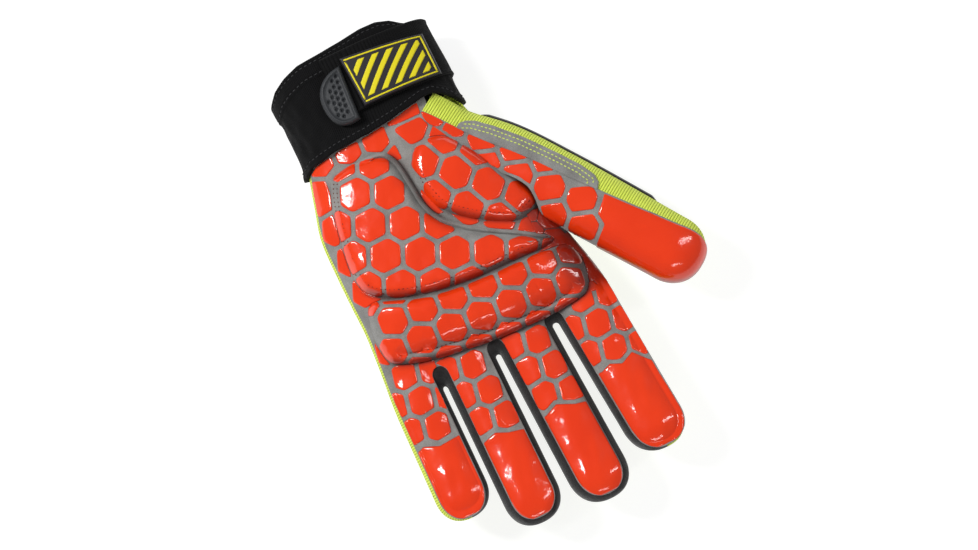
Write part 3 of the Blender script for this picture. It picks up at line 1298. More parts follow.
def knuckle_slack(out):
    return 0.5 * PAD_SLACK * smooth(0.1, 0.7, np.abs(out[..., 1]))


def leather_surface(x, y, lift):
    return lifted(x, y, front_height, lift)


def under_cuff(x, y):
    """How far (x, y) lies below the cuff's edge."""
    return cuff_edge_at((x - WRIST_X) / WRIST_WIDTH, CUFF_SEAM_EDGE) - y


def off_pads(x, y, margin):
    """Clear distances of (x, y) outside the three pads, less a margin."""
    return [-inside_by(x, y, outline)[0] - margin for outline in PAD_OUTLINES]


def palm_keep(x, y):
    """Clear distance of (x, y) on the bare palm leather above the knuckle pad."""
    edges = [x - little_edge(y) - 0.15 * MM, crease_x(y) - x - 0.4 * MM, under_cuff(x, y) - 0.3 * MM,
             y - (CROTCH_Y + 0.16 * PALM_LENGTH) - 0.05 * (x - MIDDLE_X)]
    return np.minimum.reduce(edges + off_pads(x, y, 0.25 * MM))


def pad_keep(outline, slack, rolled):
    """Clear distance inside a pad's outline. A rolled edge facing the thumb side takes its own share."""
    def keep(x, y):
        depth, out = inside_by(x, y, outline)
        return depth + slack(out) - PAD_EDGE - rolled * rolled_share(out)
    return keep


# The upper edges of the full coats from the little finger's: places seen from above, in millimetres.
COAT_EDGES = [
    [(-90.0, -66.5), (-82.7, -66.5), (-77.0, -64.6), (-69.9, -67.6), (-61.5, -66.9), (-50.0, -66.0)],
    [(-60.0, -75.2), (-51.9, -75.4), (-44.4, -73.3), (-38.5, -75.9), (-31.5, -77.3), (-25.0, -77.0)],
    [(-28.0, -76.3), (-19.6, -76.5), (-13.3, -73.8), (-5.2, -77.5), (1.3, -78.7), (8.0, -78.7)],
    [(5.0, -69.1), (12.8, -69.5), (17.4, -67.8), (22.8, -70.2), (29.1, -67.2), (36.1, -74.8), (45.0, -76.0)]]
COAT_EDGES = [np.array(edge) for edge in COAT_EDGES]


def coat_line(i, x):
    return np.interp(x, COAT_EDGES[i][:, 0] * MM, COAT_EDGES[i][:, 1] * MM)


def finger_keep(i):
    """Clear distance on finger i's strip, from its coat up to the pads."""
    def keep(x, y):
        left, right = strip_edges(i, np.maximum(y, finger_tip(i)[0] + 12 * MM))
        high = CROTCH_Y + 0.30 * PALM_LENGTH
        edges = [x - left - 0.2 * MM, right - x - 0.2 * MM, y - coat_line(i, x) - 1.8 * MM, high - y]
        return np.minimum.reduce(edges + off_pads(x, y, 0.3 * MM))
    return keep


def coat_lifts(edge):
    """Heights of a coat's top and of its underside for a distance in from its rim, where they meet."""
    edge = edge.copy()
    edge[[0, -1]] = 0
    edge[:, [0, -1]] = 0
    top = PRINT_SUNK + (PRINT_HIGH - PRINT_SUNK) * np.sqrt(np.clip(edge / (0.8 * MM), 0, 1))
    return top, PRINT_SUNK - 0.1 * MM * (edge > 0)


def finger_coat(i):
    """The full coat of finger i's front, from its wavy upper edge to the seam round the fingertip."""
    tip_inset = FINGERS[i, 7] * finger_line(i, CROTCH_Y)[1]
    end = finger_tip(i)[0] + tip_inset + 0.55 * MM
    share = np.sin(np.linspace(-np.pi / 2, np.pi / 2, 53)) / 2 + 0.5
    down = np.linspace(0, 1, 77)[:, None]
    top = COAT_EDGES[i][:, 1].mean() * MM
    y = top + (end - top) * (1 - (1 - down) ** 1.6)
    left, right = strip_edges(i, y)
    left, right = left + COAT_MARGIN, np.maximum(right - COAT_MARGIN, left + 0.4 * MM)
    x = left + (right - left) * share
    y = y + (coat_line(i, x) - top) * smooth(1.0, 0.0, down * 3)
    side = np.minimum(share, 1 - share) * (right - left)
    edge = np.maximum(np.minimum(side, np.minimum(coat_line(i, x) - y, y - end)), 0.02 * MM)
    top, low = coat_lifts(edge)
    return [lifted(x, y, front_height, top)[:, ::-1], lifted(x, y, front_height, low)]


# Where the bare palm's lattices end, seen from above: beside the heel pad, between that pad and the cuff,
# beside the thenar pad, under the cuff's middle, and in the creased web by the index finger.
HEEL_SIDE_X, HEEL_SIDE_TOP = MIDDLE_X - 33 * MM, 61 * MM
CUFF_SIDE_X, CUFF_SIDE_FOOT = -27.5 * MM, 60 * MM
THENAR_SIDE_X, THENAR_SIDE_TOP = -27 * MM, 74.2 * MM
CUFF_ROW_X, CUFF_ROW_FOOT = -26.5 * MM, 75.7 * MM
WEB_LEFT, WEB_FOOT, WEB_TOP = 13.5 * MM, -34 * MM, 12 * MM
WEB_GAP = 0.35 * MM


def heel_side_keep(x, y):
    return np.minimum.reduce([palm_keep(x, y), HEEL_SIDE_X - x, HEEL_SIDE_TOP - y])


def cuff_side_keep(x, y):
    return np.minimum.reduce([palm_keep(x, y), CUFF_SIDE_X - x, y - CUFF_SIDE_FOOT])


def thenar_side_keep(x, y):
    off_web = np.maximum(WEB_LEFT - x, y - WEB_TOP)
    return np.minimum.reduce([palm_keep(x, y), x - THENAR_SIDE_X, off_web, THENAR_SIDE_TOP - y])


def cuff_row_keep(x, y):
    return np.minimum.reduce([palm_keep(x, y), x - CUFF_ROW_X, y - CUFF_ROW_FOOT])


def web_keep(x, y):
    edges = [x - WEB_LEFT, index_edge(y) - x - 0.1 * MM, y - WEB_FOOT, WEB_TOP - y]
    return np.minimum.reduce(edges + off_pads(x, y, 0.1 * MM))


palm_hexes = [
    hexagons(HEEL_LATTICE, heel_side_keep, leather_surface),
    hexagons(CUFF_SIDE_LATTICE, cuff_side_keep, leather_surface),
    hexagons(THENAR_LATTICE, thenar_side_keep, leather_surface),
    hexagons(CUFF_LATTICE, cuff_row_keep, leather_surface),
    hexagons(WEB_LATTICE, web_keep, leather_surface, WEB_GAP)]
palm_hexes += [hexagons(FINGER_LATTICES[i], finger_keep(i), leather_surface) for i in range(4)]
palm_prints = [
    print_piece("palm_grip_print", "palm_panel", palm_hexes),
    print_piece("fingertip_coats", "palm_panel", grids=[grid for i in range(4) for grid in finger_coat(i)])]
for pad, lattice, outline, cushion, slack, rolled in (
        ("heel", HEEL_LATTICE, heel_outline, heel_cushion, heel_slack, 2.3 * MM),
        ("thenar", THENAR_LATTICE, thenar_outline, thenar_cushion, thenar_slack, 0.0),
        ("knuckle", KNUCKLE_LATTICE, knuckle_outline, knuckle_cushion, knuckle_slack, 0.0)):
    hexes = hexagons(lattice, pad_keep(outline, slack, rolled), pad_surface(outline, cushion, slack))
    palm_prints.append(print_piece(pad + "_grip_print", pad + "_pad", [hexes]))


# Thumb print
# The same print on the thumb's front panel, laid out along and round the thumb.

# The upper edge of the thumb's full coat: places seen from above.
THUMB_COAT = np.array([(47.4, 1.9), (41.8, -4.3), (42.7, -9.9), (37.9, -14.4)]) * MM
ROOT_END = -0.045
THUMB_PRINT_START = -0.035


def thumb_place(x, y):
    """Along the thumb and beside its middle line for a place seen from above."""
    off = np.stack([x, y], -1) - THUMB_ROOT
    return off @ THUMB_ALONG / THUMB_REACH, off @ THUMB_ACROSS


def thumb_at(x, y, lift):
    """Skin of the thumb's front panel at a place seen from above, moved out along its normal."""
    along, beside = thumb_place(x, y)
    shape = along.shape
    along, beside, lift = along.ravel(), beside.ravel(), np.broadcast_to(lift, shape).ravel()
    turns = turn_beside(along, 1.0, beside)[:, None]
    here, beyond, round_it = (thumb_leather(along + step, np.ones_like(along), turns + turn)[:, 0]
                              for step, turn in ((0.0, 0.0), (0.002, 0.0), (0.0, 0.02)))
    normal = np.cross(beyond - here, round_it - here)
    normal /= np.linalg.norm(normal, axis=-1, keepdims=True) + 1e-12
    normal *= np.where(normal[:, 2:] < 0, -1, 1)
    return (here + normal * lift[:, None]).reshape(*shape, 3)


def thumb_coat_line(beside):
    """Along the thumb of its coat's upper edge, at a distance beside its middle line."""
    coat_along, coat_beside = thumb_place(*THUMB_COAT.T)
    order = np.argsort(coat_beside)
    return np.interp(beside, coat_beside[order], coat_along[order])


def thumb_keep(x, y):
    """Clear distance of (x, y) on the thumb's front panel between its seam, outline, crease, coat and
    cuff."""
    along, beside = thumb_place(x, y)
    seam = curve(THUMB_SEAM[:, 0], THUMB_SEAM[:, 1], along) * THUMB_WIDTH
    outline = -0.992 * thumb_section(along)[0]
    crease = np.where(y > CROTCH_Y + 0.27 * PALM_LENGTH, x - crease_x(y) - 0.3 * MM, 5 * MM)
    coat = (thumb_coat_line(beside) - along) * THUMB_REACH
    return np.minimum.reduce([seam - beside - 0.3 * MM, beside - outline, crease, coat - 1.9 * MM,
                              under_cuff(x, y) - 1 * MM])


def root_keep(x, y):
    """Clear distance of (x, y) on the narrow start of the thumb's panel, beside the cuff."""
    return np.minimum(thumb_keep(x, y), (ROOT_END - thumb_place(x, y)[0]) * THUMB_REACH)


def thumb_print_keep(x, y):
    """Clear distance of (x, y) on the rest of the thumb's panel."""
    return np.minimum(thumb_keep(x, y), (thumb_place(x, y)[0] - THUMB_PRINT_START) * THUMB_REACH)


thumb_hexes = [hexagons(THUMB_ROOT_LATTICE, root_keep, thumb_at, 0.6 * MM),
               hexagons(THUMB_LATTICE, thumb_print_keep, thumb_at)]


def thumb_coat(columns=57, rows=56):
    """The full coat of the thumb's front, from its wavy edge round the tip: its top and its underside."""
    share = np.linspace(0, 1, columns)[None, :]
    middle = np.array([0.36])
    first = between(thumb_seam_turn(middle, 1.0) + 0.03, thumb_low_turn(np.array([0.5])) - 0.1, columns)
    line = thumb_coat_line(thumb_section(middle)[0] * rounded(np.cos(first), THUMB_SQUARE))
    tip_along, tip_size = (values[1:] for values in thumb_rows(0.5, 2, 30))
    down = np.linspace(0, 1, rows, endpoint=False)[:, None] ** 1.5
    along = np.concatenate([line + (tip_along[0] - line) * down, tip_along[:, None] + 0 * share])
    size = np.concatenate([np.ones(rows), tip_size])
    start = thumb_seam_turn(along, size[:, None]) + 0.03
    stop = thumb_low_turn(np.maximum(along, 0.5)) - 0.1
    turns = start + (stop - start) * share
    edge = np.minimum(np.minimum(share, 1 - share) * 60 * MM, (along - line) * THUMB_REACH)
    edge[-1] = 0.8 * MM
    top, low = coat_lifts(np.concatenate([edge, edge[-1:]]))
    top, low = top[:-1], low[:-1]
    grid, up = (np.stack([thumb_leather(along[:, k], size, turns[:, k:k + 1], lift)[:, 0]
                          for k in range(columns)], 1) for lift in (0.0, MM))
    way = (up - grid) / (np.linalg.norm(up - grid, axis=-1, keepdims=True) + 1e-12)
    return [grid + way * top[..., None], (grid + way * low[..., None])[:, ::-1]]


thumb_print = print_piece("thumb_grip_print", "thumb_front", thumb_hexes, thumb_coat())

# How dark the turned-down flanks of the leather and of the print are.
LEATHER_FLANKS = 0.3
PRINT_FLANKS = 0.75
for piece in (palm_leather, heel_pad, thenar_pad, knuckle_pad):
    add_folds(piece, 1.0, LEATHER_FLANKS)
for piece in palm_prints:
    add_folds(piece, 1.0, PRINT_FLANKS)
add_folds(thumb_print, 0.0, PRINT_FLANKS)


# Pull tab
# A half-moon of dark moulded rubber at the strap's end, with a raised rim and rows of small dimples for
# grip. It is stitched down beside the badge.

TAB_HIGH = 2.4 * MM
STRAP_TOP = STRAP_IN + STRAP_THICK + 0.3 * MM
PART_MERGE = 0.01 * MM

# The tab's round edge from the badge's outer corner to its inner one, across and along the wrist in
# shares of the strap's width, from the middle of the badge's end.
TAB_EDGE = np.array([
    (-0.057, 0.325), (-0.267, 0.285), (-0.450, 0.170), (-0.550, 0.000), (-0.572, -0.213), (-0.530, -0.410),
    (-0.430, -0.535), (-0.283, -0.585), (-0.120, -0.570)])
BADGE_CORNERS = np.array([(-33.8, 114.0), (7.0, 109.6), (7.0, 88.3), (-32.6, 88.6)]) * MM


def wrist_height(x, y, proud):
    """Height of the wrist's front at (x, y), standing proud of the wrist's form."""
    centre, half, middle, thick, square = wrist_section(y, proud)
    return middle + thick * dome((x - centre) / half, square)


def round_over(edge, radius):
    """From 0 at an edge to 1 at a radius in from it, by a quarter circle."""
    return np.sqrt(np.clip(1 - (1 - np.clip(edge / radius, 0, 1)) ** 2, 0, 1))


def slab(grid, edge, height, base):
    """A closed slab over the wrist: its top stands at height, rounded where edge runs out, and its
    bottom lies on base."""
    x, y = grid[..., 0], grid[..., 1]
    fade = round_over(edge, 0.9 * MM)
    top = np.stack([x, y, wrist_height(x, y, base) + height * fade], -1)
    low = np.stack([x, y, wrist_height(x, y, base)], -1)
    return [top, low[:, ::-1]]


tab_mid = (BADGE_CORNERS[0] + BADGE_CORNERS[3]) / 2
t = np.linspace(0, 1, len(TAB_EDGE))
u = np.linspace(0, 1, 101)
u = (u + (1 - np.cos(np.pi * u)) / 2) / 2
tab_round = np.stack([curve(t, TAB_EDGE[:, k] * STRAP_WIDTH + tab_mid[k], u) for k in (0, 1)], -1)
tab_flat = tab_round[0] + (tab_round[-1] - tab_round[0]) * u[:, None] + np.array([0.01 * MM, 0])
share = np.linspace(0, 1, 81)[None, :, None]
tab_plan = tab_flat[:, None] + (tab_round[:, None] - tab_flat[:, None]) * share
tab_outline = np.concatenate([tab_round, tab_flat[::-1]])
tab_edge, _ = inside_by(tab_plan[..., 0], tab_plan[..., 1], tab_outline)
tab_edge = np.maximum(tab_edge, 0.003 * MM)
tab_edge[[0, -1]] = 0
tab_edge[:, [0, -1]] = 0

# The dimples' lattice in millimetres: its two ways and its start, from the middle of the badge's end.
DIMPLE_FIRST, DIMPLE_SECOND, DIMPLE_START = np.array([(2.5, 1.2), (0.35, 2.9), (-6.5, -3.0)])
i, j = (steps.reshape(-1, 1) for steps in np.meshgrid(np.arange(-4, 5), np.arange(-6, 7), indexing="ij"))
dimples = tab_mid + (i * DIMPLE_FIRST + j * DIMPLE_SECOND + DIMPLE_START) * MM
dimple_room, _ = inside_by(dimples[:, 0], dimples[:, 1], tab_outline)
from_flat = tab_mid[0] - dimples[:, 0]
dimples = dimples[(dimple_room > 3.4 * MM) & (from_flat > 3.6 * MM)]
away = np.linalg.norm(tab_plan[:, :, None] - dimples, axis=-1).min(-1)
tab_rim = 0.75 * MM * np.exp(-((tab_edge - 1.5 * MM) / (0.75 * MM)) ** 2)
hollows = 1.3 * MM * np.exp(-(away / (0.68 * MM)) ** 4)
tab = patchwork("pull_tab", slab(tab_plan, tab_edge, TAB_HIGH + (tab_rim - hollows), STRAP_TOP),
                merge=PART_MERGE, closed=True)
tab_rubber, tab_tree, tab_shader = new_finish("tab_rubber", 0.5, specular=0.35)
tab_shader.inputs["Base Color"].default_value = paint(44, 46, 49)
tab_place = add_node(tab_tree, "TexCoord").outputs["Object"]
tab_grain = add_node(tab_tree, "TexNoise", {"Vector": tab_place, "Scale": 2400.0, "Detail": 2.0})
add_bump(tab_tree, tab_shader, tab_grain.outputs["Fac"], 0.08 * MM)
tab.data.materials.append(tab_rubber)
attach(tab, "root")
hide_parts("strap_tab")


# Badge
# A black rubber plate with a raised yellow frame line. Inside the frame are plain yellow and black
# diagonal stripes, moulded slightly proud.

BADGE_HIGH = 1.8 * MM
FRAME_WIDE = 0.85 * MM
FRAME_INSET = 1.3 * MM
badge_size = np.array([np.linalg.norm(BADGE_CORNERS[1] - BADGE_CORNERS[0]),
                       np.linalg.norm(BADGE_CORNERS[0] - BADGE_CORNERS[3])])


def badge_place(s, t):
    """Places on the badge from distances along its length and up its width, as x and y."""
    u, v = (s / badge_size[0])[..., None], (t / badge_size[1])[..., None]
    low = BADGE_CORNERS[3] + (BADGE_CORNERS[2] - BADGE_CORNERS[3]) * u
    high = BADGE_CORNERS[0] + (BADGE_CORNERS[1] - BADGE_CORNERS[0]) * u
    return low + (high - low) * v


s, t = np.meshgrid(badge_size[0] * (1 - np.cos(np.linspace(0, np.pi, 64))) / 2,
                   badge_size[1] * (1 - np.cos(np.linspace(0, np.pi, 44))) / 2)
edge = np.minimum(np.minimum(s, badge_size[0] - s), np.minimum(t, badge_size[1] - t))
plate = patchwork("badge_plate", slab(badge_place(s, t), edge, BADGE_HIGH, STRAP_TOP), merge=PART_MERGE,
                  closed=True)
plate.data.materials.append(plain_finish("badge_black", paint(38, 36, 40), 0.45, 0.35))
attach(plate, "root")
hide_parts("strap_badge")

# The raised marks: four bars of the frame, then the stripes, each with its distance in from its rim.
MARK_HIGH = 0.35 * MM
marks = []
outer = FRAME_INSET
inner = FRAME_INSET + FRAME_WIDE
long, wide = badge_size
bar_low, bar_high = inner + 0.03 * MM, wide - inner - 0.03 * MM
for low_s, high_s, low_t, high_t in (
        (outer, long - outer, outer, inner), (outer, long - outer, wide - inner, wide - outer),
        (outer, inner, bar_low, bar_high), (long - inner, long - outer, bar_low, bar_high)):
    s, t = np.meshgrid(np.linspace(low_s, high_s, 50), np.linspace(low_t, high_t, 12))
    marks.append((s, t, np.minimum.reduce([s - low_s, high_s - s, t - low_t, high_t - t])))
stripe_low, stripe_high = inner + 1.3 * MM, badge_size - inner - 1.3 * MM
stripe_step = 7.2 * MM
for k in range(-4, 8):
    t_row = np.linspace(stripe_low, stripe_high[1], 70)
    left = np.clip(t_row + k * stripe_step, stripe_low, stripe_high[0])
    right = np.clip(t_row + k * stripe_step + stripe_step * 0.5, stripe_low, stripe_high[0])
    used = right - left > 0.05 * MM
    if used.sum() < 6:
        continue
    across = np.linspace(0, 1, 10)
    s = left[used, None] + (right - left)[used, None] * across
    t = t_row[used, None] + 0 * s
    rim = np.minimum(np.minimum(across, 1 - across) * (right - left)[used, None],
                     np.minimum(t - t[0], t[-1] - t))
    marks.append((s, t, rim))
mark_base = STRAP_TOP + BADGE_HIGH - 0.05 * MM
mark_grids = [grid for s, t, rim in marks for grid in slab(badge_place(s, t), rim, MARK_HIGH, mark_base)]
badge_marks = patchwork("badge_marks", mark_grids, merge=PRINT_MERGE)
badge_marks.data.materials.append(plain_finish("badge_yellow", paint(222, 208, 26), 0.5, 0.3))
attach(badge_marks, "root")
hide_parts("strap_badge")


# Back guards
# Moulded dark rubber guards on the back: a ribbed strip on each finger and on the thumb's outer side,
# one bar over the knuckles and one plate on the hand. The photograph shows only the thumb's.

GUARD_GAP = 0.3 * MM
GUARD_THICK = 3.7 * MM
GUARD_WEB = 1.3 * MM
GUARD_BLOCKS = np.array([(0.06, 0.27), (0.33, 0.54), (0.60, 0.82)])
guard_rubber = plain_finish("guard_rubber", paint(26, 28, 27), 0.42, 0.4)


def blocks_at(share, blocks, soft):
    """1 on the blocks and 0 between them, with soft ends."""
    rises = [smooth(low - soft, low + soft, share) * smooth(high + soft, high - soft, share)
             for low, high in blocks]
    return np.max(rises, axis=0)


def guard_piece(node, outer, inner):
    """A closed guard from the grids of its outer and its inner face."""
    guard = patchwork(node + "_moulding", [outer, inner[:, ::-1]], merge=PART_MERGE, closed=True)
    guard.data.materials.append(guard_rubber)
    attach(guard, "root")
    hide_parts(node)


for i, name in enumerate(["little", "ring", "middle", "index"]):
    share = np.linspace(GUARD_BLOCKS[0, 0] - 0.02, GUARD_BLOCKS[-1, 1] + 0.02, 90)[:, None]
    y = CROTCH_Y - share * FINGERS[i, 4] * FINGER_LENGTH
    centre, half = finger_line(i, y)[:2]
    u = np.sin(np.linspace(-np.pi / 2, np.pi / 2, 29))[None, :]
    block = blocks_at(share, GUARD_BLOCKS, 0.012)
    x = centre + u * half * (0.42 + 0.14 * block)
    edge = np.sqrt(np.clip(1 - np.abs(u) ** 6, 0, 1))
    ends = np.sqrt(np.clip(np.minimum(share - share[0], share[-1] - share) / 0.012, 0, 1))
    thick = (GUARD_WEB + (GUARD_THICK - GUARD_WEB) * block) * edge * ends
    y = y + 0 * x
    base = back_height(x, y) - GUARD_GAP
    guard_piece("guard_" + name, np.stack([x, y, base - thick], -1), np.stack([x, y, base], -1))


def plate_guard(node, shares, centre, thick):
    """A flat guard under the hand with a rounded rim. Its outline and centre are across and along, in
    shares of the palm's width and length."""
    outline = closed_curve(shares, 210)
    centre = np.array([MIDDLE_X + centre[0] * PALM_WIDTH, CROTCH_Y + centre[1] * PALM_LENGTH])
    share = np.sin(np.linspace(0, 1, 26) * np.pi / 2)[:, None, None]
    flat = centre + (outline[None] - centre) * share
    flat = np.concatenate([flat, flat[:, :1]], 1)
    x, y = flat[..., 0], flat[..., 1]
    fade = round_over(np.clip(inside_by(x, y, outline)[0], 0, None), PLATE_ROUND)
    base = back_height(x, y) - GUARD_GAP
    out = np.maximum(base - np.maximum(thick * fade, 0.05 * MM), 0.02 * MM)
    out[-1] = base[-1]
    guard_piece(node, np.stack([x, y, out], -1), np.stack([x, y, base], -1))


PLATE_ROUND = 2.2 * MM

# The plates' outlines: across and along, in shares of the palm's width and length.
KNUCKLE_GUARD = np.array([
    (-0.42, 0.14), (-0.40, 0.07), (-0.20, 0.045), (0.00, 0.03), (0.20, 0.045), (0.40, 0.07), (0.42, 0.14),
    (0.36, 0.265), (0.18, 0.252), (0.00, 0.24), (-0.18, 0.252), (-0.36, 0.265)])
HAND_GUARD = np.array([
    (-0.34, 0.36), (-0.17, 0.33), (0.00, 0.31), (0.15, 0.33), (0.30, 0.36), (0.285, 0.49), (0.26, 0.62),
    (0.20, 0.75), (0.14, 0.86), (-0.02, 0.875), (-0.18, 0.88), (-0.26, 0.76), (-0.32, 0.64), (-0.335, 0.50)])
plate_guard("guard_knuckles", KNUCKLE_GUARD, (0.0, 0.14), 6.2 * MM)
plate_guard("guard_hand", HAND_GUARD, (-0.02, 0.6), 4.7 * MM)

# The thumb's guard runs round the thumb from beside the hi-vis cloth's outline to under it.
THUMB_BLOCKS = np.array([(0.06, 0.27), (0.31, 0.50), (0.54, 0.74)])
along = np.linspace(0.04, 0.76, 150)
turns = np.radians(np.linspace(-6, -78, 41))[None, :] + 0 * along[:, None]
u = np.linspace(0, 1, 41)[None, :]
block = blocks_at(along[:, None], THUMB_BLOCKS, 0.008) * smooth(0.10, 0.22, u)
ends = np.sqrt(np.clip(np.minimum(along - along[0], along[-1] - along) / 0.03, 0, 1))[:, None]
sides = np.sqrt(np.clip(np.minimum(u, 1 - u) / 0.10, 0, 1))
thick = (2.5 * MM + 1.2 * MM * block) * ends * sides
inner = thumb_point(along, np.ones_like(along), turns, GUARD_GAP)
away = thumb_point(along, np.ones_like(along), turns, GUARD_GAP + MM) - inner
away /= np.linalg.norm(away, axis=-1, keepdims=True)
guard_piece("guard_thumb", inner + away * thick[..., None], inner)


# Stitching
# Sewing thread: two rows of yellow-green stitches inside the patch's outer edge, dark grey rows along the
# cuff's hem and seam, and dark red stitches in rows on the pads' flanks.

def thread(name, places, ways, ups, long, wide, material, goes_with, slot):
    """One object of many stitches: small egg shapes lying along ways on the surface, ups being out."""
    a = np.linspace(0, np.pi, 7)[:, None]
    b = np.linspace(0, 2 * np.pi, 8, endpoint=False)[None, :]
    egg = np.stack([np.cos(a) * long + 0 * b, np.sin(a) * np.cos(b) * wide, np.sin(a) * np.sin(b) * wide],
                   -1) / 2
    ways = ways / np.linalg.norm(ways, axis=-1, keepdims=True)
    sides = np.cross(ups, ways)
    sides /= np.linalg.norm(sides, axis=-1, keepdims=True) + 1e-12
    ups = np.cross(ways, sides)
    frame_axes = np.stack([ways, sides, ups], 1)
    eggs = places[:, None, None] + egg[None] @ frame_axes[:, None]
    faces = [grid_faces(7, 8, ring=True, start=56 * k, flip=True) for k in range(len(places))]
    piece = new_mesh(name, eggs.reshape(-1, 3), np.concatenate(faces))
    weld(piece, 0.001 * MM, outwards=True)
    piece.data.materials.append(material)
    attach(piece, "root")
    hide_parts(goes_with)


def along_path(points, ups, step):
    """Places every step along a path of points, the path's way there and the way out there."""
    reach = reach_along(points)
    at = np.arange(step / 2, reach[-1], step)
    place, later, up = (np.stack([np.interp(spots, reach, values[:, k]) for k in range(3)], -1)
                        for spots, values in ((at, points), (at + 0.2 * MM, points), (at, ups)))
    way = later - place
    good = np.linalg.norm(way, axis=1) > 1e-6
    return place[good], way[good], up[good]


patch_rows = []
for inset in (2.2 * MM, 4.4 * MM):
    row_along = np.linspace(0.02, 0.54, 120)
    reach = np.interp(row_along, *PATCH_EDGE.T) * THUMB_WIDTH - inset
    row_along = np.minimum(row_along, 0.545 - inset / THUMB_REACH)
    row_turns = turn_beside(row_along, 1.0, reach)[:, None]
    skin = thumb_point(row_along, np.ones_like(row_along), row_turns, PATCH_OVER)[:, 0]
    skin[:, 2] += PATCH_HIGH + 0.05 * MM
    patch_rows.append(along_path(skin, np.tile([0.0, 0.2, 1.0], (len(skin), 1)), 2.0 * MM))
lime_thread = plain_finish("lime_thread", paint(214, 232, 92), 0.6, 0.3)
thread("patch_stitches", *join_paths(*patch_rows), 1.35 * MM, 0.5 * MM, lime_thread, "thumb_patch",
       "grey_suede")


def pad_rows(outline, cushion, insets, wanted):
    """Stitch places in rows at depths inside a pad's outline, where its way out is wanted."""
    found = []
    inner = outline * 0.999 + outline.mean(0) * 0.001
    _, out = inside_by(inner[:, 0], inner[:, 1], outline)
    use = wanted(out)
    for inset in insets:
        row = outline - out * inset
        z = pad_height(row[:, 0], row[:, 1], outline, cushion)
        points = np.stack([row[:, 0], row[:, 1], z + 0.32 * MM], -1)
        ups = np.stack([out[:, 0], out[:, 1], 1 + 0 * z], -1)
        breaks = np.flatnonzero(np.diff(use.astype(int)) != 0) + 1
        for part in np.split(np.arange(len(row)), breaks):
            if use[part[0]] and len(part) > 4:
                found.append(along_path(points[part], ups[part], 2.1 * MM))
    return join_paths(*found)


dark_thread = plain_finish("dark_thread", paint(96, 22, 12), 0.7, 0.3)
for pad, outline, cushion, insets, wide, wanted in (
        ("heel", heel_outline, heel_cushion, (1.4 * MM, 3.2 * MM), 0.5 * MM,
         lambda out: (out[:, 1] < -0.3) | (out[:, 0] < -0.6)),
        ("thenar", thenar_outline, thenar_cushion, (1.6 * MM, 3.4 * MM), 0.5 * MM,
         lambda out: (out[:, 1] < 0.2) & (out[:, 0] < 0.9)),
        ("knuckle", knuckle_outline, knuckle_cushion, (4.6 * MM,), 0.45 * MM,
         lambda out: out[:, 1] < -0.4)):
    thread(pad + "_stitches", *pad_rows(outline, cushion, insets, wanted), 0.75 * MM, wide, dark_thread,
           pad + "_pad", "printed_suede")

cuff_rows = []
row_turns = np.linspace(np.radians(-5), np.radians(185), 500)
row_seam = cuff_edge_round(row_turns, CUFF_SEAM_EDGE)
row_open = cuff_edge_round(row_turns, CUFF_OPEN_EDGE)
for row_y in (row_open - HEM_ROWS[0], row_open - HEM_ROWS[1], row_seam + SEAM_ROW):
    skin = cuff_point(row_turns, row_y, CUFF_PROUD + 0.35 * MM)
    ups = skin - np.array([WRIST_X, 0, REST + WRIST_THICK / 2]) * [1, 0, 1] - skin * [0, 1, 0]
    cuff_rows.append(along_path(skin, ups, 2.6 * MM))
black_thread = plain_finish("black_thread", paint(52, 52, 54), 0.6, 0.3)
thread("cuff_stitches", *join_paths(*cuff_rows), 1.7 * MM, 0.45 * MM, black_thread, "cuff", "cuff_knit")


# Studio
# The glove lies on a plain pale table. The camera looks down from above the palm at the photograph's
# angle, and soft boxes overhead and behind put long white lights on the grip print.

VIEW_WIDTH = 0.460
VIEW_TILT = 7.0
LENS = 100.0
SENSOR = 36.0
VIEW_TURN = 26.0
AIM = (-0.0140, -0.0049, 0.020)

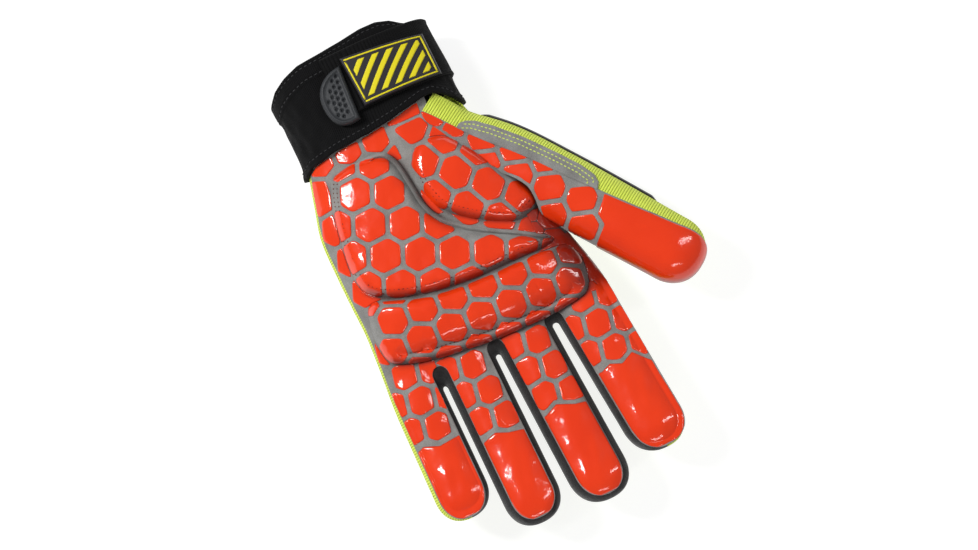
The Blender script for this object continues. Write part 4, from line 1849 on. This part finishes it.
turn = np.radians(VIEW_TURN)
tilt = np.radians(VIEW_TILT)
right = np.array([np.cos(turn), -np.sin(turn), 0])
up_flat = np.array([np.sin(turn), np.cos(turn), 0])
back = -up_flat * np.sin(tilt) + np.array([0, 0, 1]) * np.cos(tilt)
up = np.cross(back, right)
distance = VIEW_WIDTH * LENS / SENSOR
camera = bpy.data.objects.new("camera", bpy.data.cameras.new("camera"))
camera.data.lens = LENS
camera.data.sensor_width = SENSOR
camera.data.clip_start = 0.05
basis = np.eye(4)
basis[:3, 0], basis[:3, 1], basis[:3, 2] = right, up, back
basis[:3, 3] = np.array(AIM) + back * distance
camera.matrix_world = Matrix(basis.tolist())
bpy.context.scene.collection.objects.link(camera)
bpy.context.scene.camera = camera

table = new_mesh("table", [[-3, -3, 0], [3, -3, 0], [3, 3, 0], [-3, 3, 0]], [[0, 1, 2, 3]])
table_top, _, table_shader = new_finish("table_top", 0.9, specular=0.1)
table_shader.inputs["Base Color"].default_value = (0.3, 0.3, 0.3, 1)
table_shader.inputs["Emission Color"].default_value = (1, 1, 1, 1)
table_shader.inputs["Emission Strength"].default_value = 0.82
table.data.materials.append(table_top)


def soft_box(name, place, size, power):
    """A rectangular lamp at a place, facing the glove."""
    lamp = bpy.data.lights.new(name, "AREA")
    lamp.shape = "RECTANGLE"
    lamp.size, lamp.size_y = size
    lamp.energy = power
    holder = bpy.data.objects.new(name, lamp)
    holder.rotation_euler = (-Vector(place)).to_track_quat("-Z", "Y").to_euler()
    holder.location = place
    bpy.context.scene.collection.objects.link(holder)


soft_box("key_box", (-0.74, 0.64, 1.16), (0.22, 0.55), 18)
soft_box("right_box", (0.85, -0.05, 1.0), (0.10, 0.8), 3.5)
soft_box("low_box", (-0.15, -1.0, 0.9), (0.6, 0.12), 2.5)
world = bpy.data.worlds.new("studio")
world.use_nodes = True
world.node_tree.nodes["Background"].inputs["Color"].default_value = (1, 1, 1, 1)
world.node_tree.nodes["Background"].inputs["Strength"].default_value = 0.25
bpy.context.scene.world = world
bpy.context.scene.view_settings.view_transform = "Standard"
